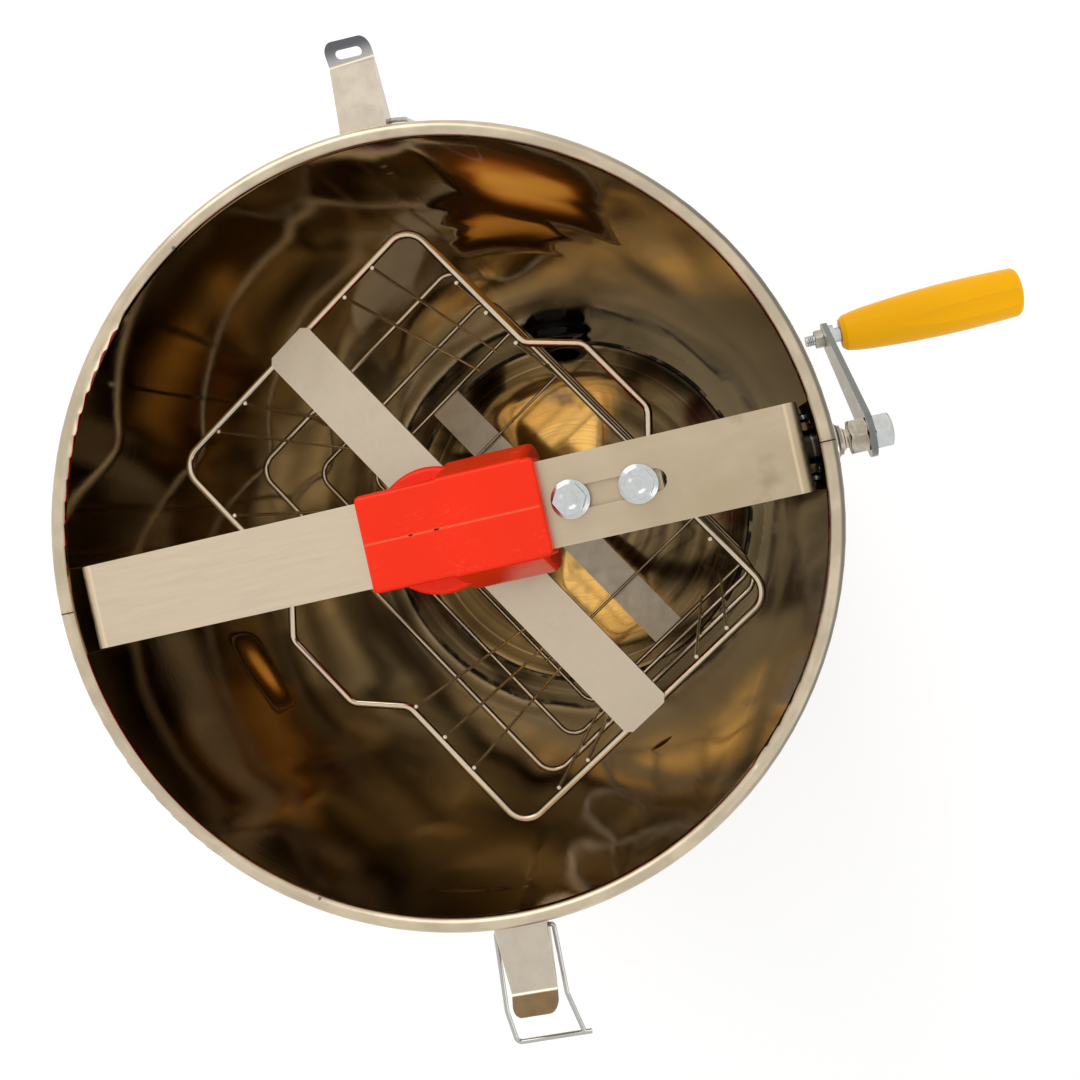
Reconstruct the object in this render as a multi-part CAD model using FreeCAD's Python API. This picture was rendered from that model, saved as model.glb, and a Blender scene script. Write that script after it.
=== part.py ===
import FreeCAD, Part
import math
import os

from FreeCAD import Placement, Rotation, Vector

# Two-frame tangential honey extractor with a hand crank and a bevel gear drive.
# Millimetres. +Z is up, along the drum's axis; the origin is in the plane of the drum's foot.
# +X points along the crossbar to the crank; +Y is towards the honey gate.

os.makedirs("parts", exist_ok=True)

# ---------------------------------------------------------------- driving sizes
DRUM_BORE = 400.0            # inside diameter of the drum
DRUM_HEIGHT = 712.0          # foot to top of the rim
WALL = 1.0                   # sheet of the drum wall
RIM_BEAD = 8.4               # diameter of the wired rim bead
FOOT_BEAD = 6.0              # height and reach of the rolled foot
FLOOR_HEIGHT = 12.0          # foot to the floor's seam with the wall
FLOOR_SHEET = 1.0
CHANNEL_WIDTH = 15.0         # flat channel between the wall and the floor's step
CHANNEL_STEP = 3.0
CONE_TOP = 34.0              # height of the floor's middle above the foot
CONE_TOP_RADIUS = 40.0

BAR_WIDTH = 45.0             # crossbar
BAR_SHEET = 3.0
BAR_DROP = 4.0               # rim to the top face of the bar
BAR_FLAT = 193.5             # axis to the outer face of the bent ends, at the top
BAR_TIP = 198.6              # the same, at the lower edge, where the ends meet the wall
BAR_END_DEPTH = 56.0         # rim's top to the lower edge of the bent ends, less the bar drop
BAR_BEND = 6.0               # outer radius of the bend
SLOT_START = 68.5            # slot for the bearing block's bolts, from the axis
SLOT_END = 124.4
SLOT_WIDTH = 12.0
BAR_BOLT_Y = 16.0            # bolts of the bent ends
BAR_BOLT_DROP = 52.5         # rim to those bolts
M5 = 2.5                     # thread radii
M6 = 3.0
M10 = 5.0

DRIVE_DROP = 42.0            # rim to the drive shaft's axis
DRIVE_RADIUS = 6.0
DRIVE_START = 8.5            # inner end of the drive shaft, from the drum's axis
CAGE_SHAFT_RADIUS = 7.0
RUNNING = 0.05               # radial clearance of shafts and pins in their bores
SEAT = 0.05                  # gap at welded and screwed seats

GEAR_MODULE = 2.0            # bevel gears, straight teeth, 20 degrees
WHEEL_TEETH = 30             # on the drive shaft
PINION_TEETH = 15            # on the cage shaft
FACE_WIDTH = 10.0
BACKLASH = 0.14
PRESSURE = math.radians(20.0)

BLOCK_START = 64.0           # bearing block under the bar
BLOCK_LENGTH = 58.0
BLOCK_WIDTH = 32.0
BLOCK_BOLT_X = (75.0, 110.0)
BLOCK_BOLT_DEPTH = 22.0
FLANGE_HEAD_RADIUS = 10.0    # flanged hexagon bolts
FLANGE_HEX = 15.0

COVER_LEFT = -34.0           # gear cover
COVER_RIGHT = 61.5
COVER_TOP = 4.0              # above the rim
COVER_BOTTOM_DROP = 84.0     # below the rim
COVER_SHEET = 2.2
COVER_EDGE = 3.0             # rounding of the cover's edges
COVER_FIT = 0.3              # play round the bar
SADDLE_HALF = 25.5           # half width over the bar
SADDLE_DROP = 18.0           # rim to the top of the round housing
SADDLE_LAP = 4.0             # how far the saddle reaches into the housings
TURRET_RADIUS = 34.0
BOX_LEFT = 8.0               # housing of the bevel wheel, round about the drive shaft
BOX_END = 57.0
BOX_RADIUS = 35.2
PARTING = 0.12               # gap between the cover's halves

STRIP_TOP_DROP = 90.0        # rim to the cage's top strip
STRIP_BOTTOM_DROP = 500.0    # rim to the cage's bottom strip
STRIP_WIDTH = 32.0
STRIP_SHEET = 3.0
STRIP_CORNER = 3.5
CAGE_ANGLE = -58.0           # cage's long direction from +X, at rest
HOOP_HALF_LENGTH = 149.0     # inside of the hoops
HOOP_HALF_WIDTH = 98.1
TOP_ROD = 2.4                # radius of the top hoop's rod
HOOP_ROD = 2.0
HOOP_BEND = 14.0             # centre-line radius at the corners
HOOP_DROPS = (218.0, 344.0)  # rim to the two middle hoops
BULGE_HALF = 52.0            # outward step in the top hoop's long sides
BULGE_FLAT_HALF = 26.5
BULGE_DEPTH = 24.0
BULGE_BEND = 9.0
WIRE = 1.1                   # radius of the upright wires
SIDE_WIRE_S = (55.0, 80.0, 105.0)
END_WIRE_T = (44.0, 68.0)
BASE_WIRE = 1.25
BASE_WIRE_S = 91.0
HUB_RADIUS = 14.0
HUB_HEIGHT = 12.0

CRANK_LENGTH = 110.0         # drive shaft to grip
CRANK_ANGLE = -55.0          # from +Y towards +Z, at rest
ARM_X = 228.0
ARM_SHEET = 3.2
ARM_HUB = 12.3
ARM_END = 8.5
NUT_LENGTH = 9.0             # locknut and cap nut on the shaft's M10 end
CAP_LENGTH = 9.8
CAP_BORE = 7.6
SHAFT_HEX = 17.0
GRIP_START = 238.3
GRIP_LENGTH = 102.0
GRIP_RADIUS = 14.9
GRIP_SHAPE = ((0.022, 0.70), (0.10, 0.80), (0.20, 0.87), (0.40, 0.96), (0.61, 1.0), (0.80, 0.985), (0.96, 0.945))
GRIP_HEX = 10.0
GRIP_NUT = 5.0
GRIP_TAIL = 10.5             # arm to the end of the grip's bolt

LATCH_FRONT = -90.0          # directions of the two latches from +X
LATCH_BACK = 87.0
LEVER_DROP = 9.5             # rim to the lever's top face
LEVER_WIDTH = 24.4
LEVER_FLARE = {"front": 28.4, "back": 24.8}     # width of the top plate at the wall
LEVER_SHEET = 1.5
LEVER_START = 8.5            # outside of the wall to the lever's inner edge
LEVER_REACH = 44.0           # outside of the wall to the lever's fold
TAB_LENGTH = 12.8
TAB_CORNER = 5.0
TAB_SLOT_HALF = 7.0
TAB_SLOT_RADIUS = 2.5
TAB_SLOT_SHARE = 0.42        # fold to the slot, as a share of the tab
TAB_ANGLE = 40.0
PIVOT_REACH = 6.5            # outside of the wall to the lever's pivot
PIVOT_DROP = 20.0
BAIL_REACH = 13.5            # outside of the wall to the bail's pivot
BAIL_DROP = 18.0
BAIL_WIRE = 1.3
BAIL_LENGTH = 61.5
BAIL_KINK = 43.5
BAIL_HALF = 18.4             # cross wire: half the spread of the legs
BAIL_BOW = 20.0
BAIL_BEND = 3.0
BAIL_EYE_BEND = 1.6          # where the ends turn in
BAIL_TAIL = 3.9              # cross wire past the welded leg
BAIL_ANGLE = {"front": -5.0, "back": -78.0}     # at rest, from level

GATE_ANGLE = 84.0            # direction of the honey gate from +X
GATE_HEIGHT = 48.0           # foot to the gate's axis
GATE_BORE = 19.0
GATE_PIPE = 23.0
GATE_EAR = 34.0              # gate's axis to its pivot and its clamp

REACH = 20.0                 # cutters go this far past what they cut
DRILL = 0.2                  # radial play of bolts in drilled holes
RIVET = 2.0                  # shank radius of the rivets
RIVET_HEAD = 3.6
PIN = 2.0                    # radius of the cross pins and the levers' pivots
BAR_BOLT_HEX = 8.0
BUSH_RADIUS = 9.0            # bush of the drive shaft in the wall
PLATE_RADIUS = 24.0          # bearing plate outside the wall
PLATE_NECK = 14.0
PLATE_RIVET = 20.0
BEARING_BODY = 9.5           # bush of the cage shaft in the bar
BEARING_FLANGE = 17.0
BEARING_RIVET_X = 13.2
BEARING_HEIGHT = 3.0
PIVOT_RADIUS = 5.0           # lower pivot of the cage shaft
FOOT_PCD = 46.0
FOOT_FLANGE_RADIUS = 30.0
FOOT_FLANGE = 3.0
FOOT_CUP = 17.5              # height of the cup
SCREW = 2.0                  # cover screws
SCREW_HEAD = 3.8
SCREW_BOSS = 4.6
SCREW_SINK = 4.5
SLIT_X = (-7.7, 5.9)         # slits in the cover's parting line
SLIT_HALF = 1.4
WHEEL_HUB_END = 34.0         # drum's axis to the end of the bevel wheel's hub
WHEEL_PIN_X = 28.0
PINION_HUB_END = 43.0        # drive axis to the end of the cage gear's hub
CAGE_PIN_DROP = 38.5         # drive axis to the cage gear's pin
GRIP_SINK = 9.0
GRIP_SOCKET = 7.5
GROOVE = 16.0
LATCH_BASE_HALF = 9.0
LATCH_FOOT_DROP = 62.0       # rim to the foot and to the head of the latch's base
LATCH_HEAD_DROP = 11.5
LATCH_RIVET_DROPS = (42.0, 55.0)
PIN_HEAD = 3.2               # latch pins
PIN_HEAD_HEIGHT = 0.9
COLLAR = 10.5                # collar on the drive shaft
COLLAR_LENGTH = 9.0
NECK = 4.3                   # grip's collar
COLLAR_RADIUS = 6.6

# ---------------------------------------------------------------- derived places
WALL_IN = DRUM_BORE / 2
WALL_OUT = WALL_IN + WALL
RIM = DRUM_HEIGHT
BAR_TOP = RIM - BAR_DROP
BAR_UNDER = BAR_TOP - BAR_SHEET
DRIVE_Z = RIM - DRIVE_DROP
WHEEL_PITCH = GEAR_MODULE * WHEEL_TEETH / 2
PINION_PITCH = GEAR_MODULE * PINION_TEETH / 2
CONE_LENGTH = math.hypot(WHEEL_PITCH, PINION_PITCH)
STRIP_TOP = RIM - STRIP_TOP_DROP
STRIP_LOW = RIM - STRIP_BOTTOM_DROP
TOP_HOOP_Z = STRIP_TOP - STRIP_SHEET - SEAT - TOP_ROD
BOTTOM_HOOP_Z = STRIP_LOW + SEAT + HOOP_ROD
BEARING_PLATE_X = WALL_OUT + 2.0
PIVOT_FLOOR = CONE_TOP + 4.0
PIVOT_SHOULDER = CONE_TOP + 20.0
CAGE_PIN_Z = DRIVE_Z - CAGE_PIN_DROP
HUB_PIN_Z = (STRIP_TOP - STRIP_SHEET - SEAT - HUB_HEIGHT / 2, STRIP_LOW - STRIP_SHEET - SEAT - HUB_HEIGHT / 2)
PIVOT_Y = WALL_OUT + PIVOT_REACH
PIVOT_Z = RIM - PIVOT_DROP
BAIL_Y = WALL_OUT + BAIL_REACH
BAIL_Z = RIM - BAIL_DROP
LATCH_RIVET_Z = [RIM - drop for drop in LATCH_RIVET_DROPS]
BUSH_START = WALL_IN - 8.0
BUSH_END = BEARING_PLATE_X + 12.0
BAR_BOLT_Z = RIM - BAR_BOLT_DROP
GATE_NUT_FACE = WALL_IN - 12.5
GATE_FLANGE = WALL_OUT + 3.2
GATE_SEAT = GATE_FLANGE + 18.0
X_AXIS = Vector(1, 0, 0)
Y_AXIS = Vector(0, 1, 0)
Z_AXIS = Vector(0, 0, 1)
ORIGIN = Vector(0, 0, 0)


# ---------------------------------------------------------------- helpers
def save(name, *shapes):
    """Write one node: a solid, or a group of separate solids."""
    solids = [solid for shape in shapes for solid in shape.Solids]
    for solid in solids:
        if not solid.isValid() or solid.Volume <= 0:
            raise ValueError("bad solid in " + name)
    shape = solids[0] if len(solids) == 1 else Part.makeCompound(solids)
    shape.exportStep("parts/" + name + ".step")


def turned(shape, degrees, axis=Z_AXIS, centre=ORIGIN):
    """Copy of a shape, turned about an axis."""
    copy = shape.copy()
    copy.rotate(centre, axis, degrees)
    return copy


def moved(shape, offset):
    copy = shape.copy()
    copy.translate(offset)
    return copy


def rod(start, end, radius):
    """Round bar between two points."""
    return Part.makeCylinder(radius, (end - start).Length, start, end - start)


def box(low, high):
    size = high - low
    return Part.makeBox(size.x, size.y, size.z, low)


def cut_all(shape, tools):
    return shape.cut(Part.makeCompound(tools))


def revolved(edges, centre=ORIGIN, axis=Z_AXIS):
    """Full revolve of a closed outline."""
    face = Part.Face(Part.Wire(Part.__sortEdges__(edges)))
    return face.revolve(centre, axis, 360)


def closed_lines(points):
    """Edges of a closed polygon."""
    return [Part.LineSegment(a, b).toShape() for a, b in zip(points, points[1:] + points[:1])]


def lathe(outline, to_space, centre=ORIGIN, axis=Z_AXIS):
    """Revolve a polygon of (along, radius) pairs; to_space maps a pair to a point."""
    return revolved(closed_lines([to_space(a, r) for a, r in outline]), centre, axis)


def on_z(along, radius):
    return Vector(radius, 0, along)


def lathe_z(outline):
    return lathe(outline, on_z)


def lathe_x(outline, z):
    """Polygon of (x, radius) pairs revolved about the line y = 0 at height z."""
    return lathe(outline, lambda x, r: Vector(x, 0, z + r), Vector(0, 0, z), X_AXIS)


def lathe_y(outline, x, z):
    """Polygon of (y, radius) pairs revolved about the line through x, z."""
    return lathe(outline, lambda y, r: Vector(x + r, y, z), Vector(x, 0, z), Y_AXIS)


def hexagon(flats, start, end):
    """Hexagonal prism between two points, with its corners chamfered at both ends."""
    axis = end - start
    corner = flats / math.sqrt(3)
    prism_points = [Vector(corner * math.cos(math.radians(60 * k)),
                           corner * math.sin(math.radians(60 * k)), 0) for k in range(6)]
    prism = Part.Face(Part.makePolygon(prism_points + prism_points[:1]))
    prism = prism.extrude(Vector(0, 0, axis.Length))
    chamfer = corner - flats / 2
    tip = flats / 2
    round_off = lathe_z([(0, 0), (0, tip), (chamfer * 0.6, corner),
                         (axis.Length - chamfer * 0.6, corner), (axis.Length, tip), (axis.Length, 0)])
    prism = prism.common(round_off)
    prism.Placement = Placement(start, Rotation(Z_AXIS, axis))
    return prism


def fillet_points(points, radii, closed):
    """Replace each corner of a path by its two tangent points and the arc's middle."""
    count = len(points)
    corners = []
    for i, corner in enumerate(points):
        if not closed and i in (0, count - 1):
            corners.append((corner, None, corner))
            continue
        back = (points[i - 1] - corner).normalize()
        ahead = (points[(i + 1) % count] - corner).normalize()
        half = back.getAngle(ahead) / 2
        reach = radii[i] / math.tan(half)
        middle = (back + ahead).normalize()
        to_arc = radii[i] / math.sin(half) - radii[i]
        corners.append((corner + back * reach, corner + middle * to_arc, corner + ahead * reach))
    return corners


def path_edges(points, radii, closed=False):
    """Straight runs joined by tangent arcs."""
    corners = fillet_points(points, radii, closed)
    edges = []
    for i, (_, middle, leave) in enumerate(corners):
        if middle is not None:
            edges.append(Part.Arc(corners[i][0], middle, leave).toShape())
        if i + 1 < len(corners) or closed:
            arrive = corners[(i + 1) % len(corners)][0]
            if (arrive - leave).Length > 1e-6:
                edges.append(Part.LineSegment(leave, arrive).toShape())
    return edges


def bent_rod(points, bend, radius, closed=False):
    """Round rod along a path with the same bend radius at each corner."""
    bends = [bend] * len(points) if not isinstance(bend, (list, tuple)) else bend
    pieces = []
    for edge in path_edges(points, bends, closed):
        start = edge.valueAt(edge.FirstParameter)
        tangent = edge.tangentAt(edge.FirstParameter)
        if edge.Curve.TypeId == "Part::GeomCircle":
            disc = Part.Face(Part.Wire(Part.makeCircle(radius, start, tangent)))
            angle = math.degrees(edge.LastParameter - edge.FirstParameter)
            pieces.append(disc.revolve(edge.Curve.Center, edge.Curve.Axis, angle))
        else:
            pieces.append(rod(start, edge.valueAt(edge.LastParameter), radius))
    return pieces[0].multiFuse(pieces[1:]).removeSplitter()


def strip_face(points, bend, thickness):
    """Section of bent sheet: points lie on its centre line in one plane, bend is that line's radius."""
    normal = (points[1] - points[0]).cross(points[-1] - points[0]).normalize()
    sides = []
    for side in (thickness / 2, -thickness / 2):
        line = []
        radii = []
        for i, point in enumerate(points):
            before = (point - points[max(i - 1, 0)]) if i else (points[1] - points[0])
            after = (points[i + 1] - point) if i + 1 < len(points) else before
            left_in = normal.cross(before).normalize()
            left_out = normal.cross(after).normalize()
            mitre = (left_in + left_out).normalize()
            line.append(point + mitre * (side / max(mitre.dot(left_in), 1e-6)))
            turn = before.cross(after).dot(normal)
            radii.append(bend - side if turn > 0 else bend + side)
        sides.append((line, radii))
    (left, left_radii), (right, right_radii) = sides
    edges = path_edges(left, left_radii) + path_edges(right, right_radii)
    edges.append(Part.LineSegment(left[0], right[0]).toShape())
    edges.append(Part.LineSegment(left[-1], right[-1]).toShape())
    return Part.Face(Part.Wire(Part.__sortEdges__(edges)))


def tapered_link(first_radius, second_radius, length):
    """Outline in the XY plane round two circles: one at the origin, one at x = length."""
    lean = math.acos((first_radius - second_radius) / length)
    cos, sin = math.cos(lean), math.sin(lean)
    a = Vector(first_radius * cos, first_radius * sin, 0)
    b = Vector(length + second_radius * cos, second_radius * sin, 0)
    c = Vector(b.x, -b.y, 0)
    d = Vector(a.x, -a.y, 0)
    edges = [Part.LineSegment(a, b).toShape(), Part.LineSegment(c, d).toShape()]
    edges.append(Part.Arc(b, Vector(length + second_radius, 0, 0), c).toShape())
    edges.append(Part.Arc(d, Vector(-first_radius, 0, 0), a).toShape())
    return Part.Face(Part.Wire(Part.__sortEdges__(edges)))


def stadium(start, end, half_width, low, high):
    """Vertical prism of a slot along X."""
    middle = box(Vector(start + half_width, -half_width, low), Vector(end - half_width, half_width, high))
    ends = [Part.makeCylinder(half_width, high - low, Vector(x, 0, low))
            for x in (start + half_width, end - half_width)]
    return middle.multiFuse(ends)


def dome_rivet(radius, head, start, end):
    """Rivet with its domed head beyond its end point."""
    shank = rod(start, end, radius)
    direction = (end - start).normalize()
    ball_radius = head * 1.25
    sink = math.sqrt(ball_radius ** 2 - head ** 2)
    ball = Part.makeSphere(ball_radius, end - direction * sink)
    height = ball_radius - sink
    return shank.fuse(ball.common(rod(end, end + direction * height, head)))


# ---------------------------------------------------------------- drum
def drum_wall():
    """Rolled wall with the wired rim and the rolled foot, pierced for what passes through it."""
    bead = RIM_BEAD / 2
    bead_r = WALL_IN + bead
    bead_z = RIM - bead
    join = bead_z - math.sqrt(bead ** 2 - (bead - WALL) ** 2)
    foot = FOOT_BEAD / 2
    p = [Vector(WALL_IN, 0, 0), Vector(WALL_IN, 0, bead_z), Vector(bead_r, 0, RIM),
         Vector(WALL_IN + RIM_BEAD, 0, bead_z), Vector(bead_r, 0, bead_z - bead),
         Vector(WALL_OUT, 0, join), Vector(WALL_OUT, 0, FOOT_BEAD),
         Vector(WALL_OUT + foot, 0, foot * 1.4), Vector(WALL_OUT + foot, 0, 0)]
    edges = [Part.LineSegment(p[0], p[1]).toShape(), Part.Arc(p[1], p[2], p[3]).toShape(),
             Part.Arc(p[3], p[4], p[5]).toShape(), Part.LineSegment(p[5], p[6]).toShape(),
             Part.LineSegment(p[6], p[7]).toShape(), Part.LineSegment(p[7], p[8]).toShape(),
             Part.LineSegment(p[8], p[0]).toShape()]
    wall = revolved(edges)
    near, far = WALL_IN - REACH, WALL_OUT + REACH
    holes = [rod(Vector(near, 0, DRIVE_Z), Vector(far, 0, DRIVE_Z), BUSH_RADIUS + DRILL)]
    holes.append(gate_place(rod(Vector(0, near, GATE_HEIGHT), Vector(0, far, GATE_HEIGHT), GATE_PIPE + DRILL)))
    for side in (-1, 1):
        for y in (-BAR_BOLT_Y, BAR_BOLT_Y):
            holes.append(rod(Vector(side * near, y, BAR_BOLT_Z), Vector(side * far, y, BAR_BOLT_Z), M5 + DRILL))
    for start, end in plate_rivet_lines():
        holes.append(rod(start - X_AXIS * WALL, end, RIVET + RUNNING))
    for angle in (LATCH_FRONT, LATCH_BACK):
        for z in LATCH_RIVET_Z:
            holes.append(turned(rod(Vector(0, near, z), Vector(0, far, z), RIVET + RUNNING), angle - 90))
    return cut_all(wall, holes)


def drum_floor():
    """Floor pan: flange turned down, flat channel, step, low cone and flat middle."""
    edge = WALL_IN - 0.1
    step = WALL_IN - CHANNEL_WIDTH
    sheet = FLOOR_SHEET
    low = FLOOR_HEIGHT
    foot = FLOOR_SHEET * 1.5
    slope = CHANNEL_STEP / 2
    top = [(CONE_TOP, 0), (CONE_TOP, CONE_TOP_RADIUS), (low + CHANNEL_STEP, step - slope), (low, step),
           (low, edge), (foot, edge)]
    under = [(foot, edge - sheet), (low - sheet, edge - sheet), (low - sheet, step - sheet * 0.4),
             (low + CHANNEL_STEP - sheet, step - slope - sheet * 0.4),
             (CONE_TOP - sheet, CONE_TOP_RADIUS - sheet * 0.2), (CONE_TOP - sheet, 0)]
    return cut_all(lathe_z(top + under), foot_rivet_holes())


def foot_rivet_points():
    return [turned(Part.Vertex(Vector(FOOT_PCD / 2, 0, CONE_TOP)), 120 * k).Point for k in range(3)]


def foot_rivet_holes():
    return [rod(point - Z_AXIS * REACH, point + Z_AXIS * REACH, RIVET + RUNNING) for point in foot_rivet_points()]


def foot_bearing_rivets():
    head = Z_AXIS * (SEAT + FOOT_FLANGE)
    return [dome_rivet(RIVET, RIVET_HEAD, point - Z_AXIS * FLOOR_SHEET, point + head)
            for point in foot_rivet_points()]


def foot_bearing():
    """Cup that the cage shaft's lower pivot turns in, on a flat riveted flange."""
    base = CONE_TOP + SEAT
    top = base + FOOT_CUP
    neck = CAGE_SHAFT_RADIUS + 7.0
    bore = PIVOT_RADIUS + RUNNING
    cup = lathe_z([(base, 0), (base, FOOT_FLANGE_RADIUS), (base + FOOT_FLANGE, FOOT_FLANGE_RADIUS),
                   (base + FOOT_FLANGE, neck + 2), (base + FOOT_FLANGE + 2, neck), (top - 1.5, neck),
                   (top, neck - 1.5), (top, bore), (PIVOT_FLOOR, bore), (PIVOT_FLOOR, 0)])
    return cut_all(cup, foot_rivet_holes())


def crossbar():
    """Flat bar, bent down at both ends to meet the wall."""
    mid = BAR_SHEET / 2
    low = RIM - BAR_DROP - BAR_END_DEPTH
    points = [Vector(-BAR_TIP + mid, 0, low), Vector(-BAR_FLAT + mid, 0, BAR_TOP - mid),
              Vector(BAR_FLAT - mid, 0, BAR_TOP - mid), Vector(BAR_TIP - mid, 0, low)]
    face = strip_face(points, BAR_BEND - mid, BAR_SHEET)
    face.translate(Vector(0, -BAR_WIDTH / 2, 0))
    bar = face.extrude(Vector(0, BAR_WIDTH, 0))
    holes = [stadium(SLOT_START, SLOT_END, SLOT_WIDTH / 2, BAR_UNDER - 1, BAR_TOP + 1)]
    for x, radius in ((0, BEARING_BODY), (-BEARING_RIVET_X, RIVET), (BEARING_RIVET_X, RIVET)):
        holes.append(rod(Vector(x, 0, BAR_UNDER - BAR_SHEET), Vector(x, 0, BAR_TOP + BAR_SHEET), radius + RUNNING))
    holes.append(rod(Vector(WALL_IN - REACH, 0, DRIVE_Z), Vector(WALL_IN, 0, DRIVE_Z), BUSH_RADIUS + DRILL))
    for side in (-1, 1):
        for y in (-BAR_BOLT_Y, BAR_BOLT_Y):
            holes.append(rod(Vector(side * (WALL_IN - REACH), y, BAR_BOLT_Z),
                             Vector(side * (WALL_IN + 1), y, BAR_BOLT_Z), M5 + DRILL))
    return cut_all(bar, holes)


def bar_end_inner(z):
    """Inner face of a bent end at a height."""
    fall = (BAR_TOP - z) / BAR_END_DEPTH
    return BAR_FLAT + (BAR_TIP - BAR_FLAT) * fall - BAR_SHEET


def crossbar_bolts():
    """Bolts from outside through the wall and the bar's ends; on the crank side the bearing plate is under them."""
    bolts = []
    nuts = []
    for side in (-1, 1):
        for y in (-BAR_BOLT_Y, BAR_BOLT_Y):
            seat_x = BEARING_PLATE_X + SEAT if side > 0 else math.sqrt(WALL_OUT ** 2 - y ** 2) + 0.3
            seat = Vector(side * seat_x, y, BAR_BOLT_Z)
            nut_face = side * (bar_end_inner(BAR_BOLT_Z) - 0.4)
            tail = Vector(nut_face - side * BAR_BOLT_HEX * 0.9, y, BAR_BOLT_Z)
            head = hexagon(BAR_BOLT_HEX, seat, seat + X_AXIS * side * M5 * 1.4)
            bolts.append(head.fuse(rod(tail, seat + X_AXIS * side, M5)))
            nut = hexagon(BAR_BOLT_HEX, Vector(nut_face - side * M5 * 1.6, y, BAR_BOLT_Z),
                          Vector(nut_face, y, BAR_BOLT_Z))
            nuts.append(nut.cut(rod(tail, seat, M5 + RUNNING)))
    return bolts, nuts


def top_bearing():
    """Flanged bush for the cage shaft, set in the middle of the bar."""
    seat = BAR_TOP + SEAT
    low = seat - BEARING_BODY * 1.2
    top = seat + BEARING_HEIGHT
    bore = CAGE_SHAFT_RADIUS + RUNNING
    bush = lathe_z([(low, bore), (low, BEARING_BODY), (seat, BEARING_BODY), (seat, BEARING_FLANGE),
                    (top - 0.8, BEARING_FLANGE), (top, BEARING_FLANGE - 0.8), (top, bore)])
    return cut_all(bush, [rod(Vector(x, 0, low), Vector(x, 0, top + 1), RIVET + RUNNING)
                          for x in (-BEARING_RIVET_X, BEARING_RIVET_X)])


def bearing_rivets():
    top = BAR_TOP + SEAT + BEARING_HEIGHT
    return [dome_rivet(RIVET, RIVET_HEAD - 0.2, Vector(x, 0, BAR_UNDER), Vector(x, 0, top))
            for x in (-BEARING_RIVET_X, BEARING_RIVET_X)]


def bearing_block():
    """Block under the bar: flat top, half-round underside concentric with the drive shaft."""
    half = BLOCK_WIDTH / 2
    top = BAR_UNDER - SEAT
    a = Vector(BLOCK_START, half, top)
    b = Vector(BLOCK_START, half, DRIVE_Z)
    c = Vector(BLOCK_START, -half, DRIVE_Z)
    d = Vector(BLOCK_START, -half, top)
    low = Vector(BLOCK_START, 0, DRIVE_Z - half)
    edges = [Part.LineSegment(a, b).toShape(), Part.Arc(b, low, c).toShape(),
             Part.LineSegment(c, d).toShape(), Part.LineSegment(d, a).toShape()]
    block = Part.Face(Part.Wire(edges)).extrude(Vector(BLOCK_LENGTH, 0, 0))
    tools = [rod(Vector(BLOCK_START - 1, 0, DRIVE_Z), Vector(BLOCK_START + BLOCK_LENGTH + 1, 0, DRIVE_Z),
                 DRIVE_RADIUS + RUNNING)]
    for x in BLOCK_BOLT_X:
        tools.append(Part.makeCylinder(M10 + RUNNING, BLOCK_BOLT_DEPTH + 1, Vector(x, 0, top - BLOCK_BOLT_DEPTH)))
    block = cut_all(block, tools)
    rims = [edge for edge in block.Edges if edge.Curve.TypeId == "Part::GeomCircle"
            and abs(edge.Curve.Radius - half) < 0.01]
    return block.makeChamfer(1.2, rims)


def block_bolts():
    """Flanged hexagon bolts with dished heads."""
    bolts = []
    for x in BLOCK_BOLT_X:
        seat = BAR_TOP + SEAT
        flange = lathe_z([(seat, 0), (seat, FLANGE_HEAD_RADIUS), (seat + 1.2, FLANGE_HEAD_RADIUS),
                          (seat + 2.4, FLANGE_HEAD_RADIUS - 2), (seat + 2.4, 0)])
        head = hexagon(FLANGE_HEX, Vector(0, 0, seat + 1), Vector(0, 0, seat + 8))
        dish = lathe_z([(seat + 7.2, 0), (seat + 7.2, 3.5), (seat + 8.2, 5.2), (seat + 8.2, 0)])
        shank = rod(Vector(0, 0, BAR_UNDER - BLOCK_BOLT_DEPTH + 2), Vector(0, 0, seat + 1), M10)
        bolts.append(moved(flange.multiFuse([head, shank]).cut(dish), Vector(x, 0, 0)))
    return bolts


def plate_rivet_lines():
    """Axis of each upper rivet of the bearing plate, from the wall's inside to its head."""
    lines = []
    for angle in (math.radians(50), math.radians(130)):
        y = PLATE_RIVET * math.cos(angle)
        z = DRIVE_Z + PLATE_RIVET * math.sin(angle)
        wall_x = math.sqrt(WALL_IN ** 2 - y ** 2)
        lines.append((Vector(wall_x, y, z), Vector(BEARING_PLATE_X, y, z)))
    return lines


def wall_bearing_plate():
    """Pressed plate: flat rim seated on the drum, drawn out to a collar round the bush."""
    bore = BUSH_RADIUS + RUNNING
    back = WALL_IN - 4
    x = BEARING_PLATE_X
    collar = BUSH_RADIUS
    plate = lathe_x([(back, bore), (back, PLATE_RADIUS), (x, PLATE_RADIUS), (x, PLATE_NECK),
                     (x + 2, PLATE_NECK - 1), (x + collar, bore + 1.5), (x + collar, bore)], DRIVE_Z)
    drum = Part.makeCylinder(WALL_OUT + 0.02, 4 * REACH, Vector(0, 0, DRIVE_Z - 2 * REACH))
    tools = [drum] + [rod(start, end + X_AXIS, RIVET + RUNNING) for start, end in plate_rivet_lines()]
    for y in (-BAR_BOLT_Y, BAR_BOLT_Y):
        tools.append(rod(Vector(back, y, BAR_BOLT_Z), Vector(x + 1, y, BAR_BOLT_Z), M5 + DRILL))
    return cut_all(plate, tools)


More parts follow.
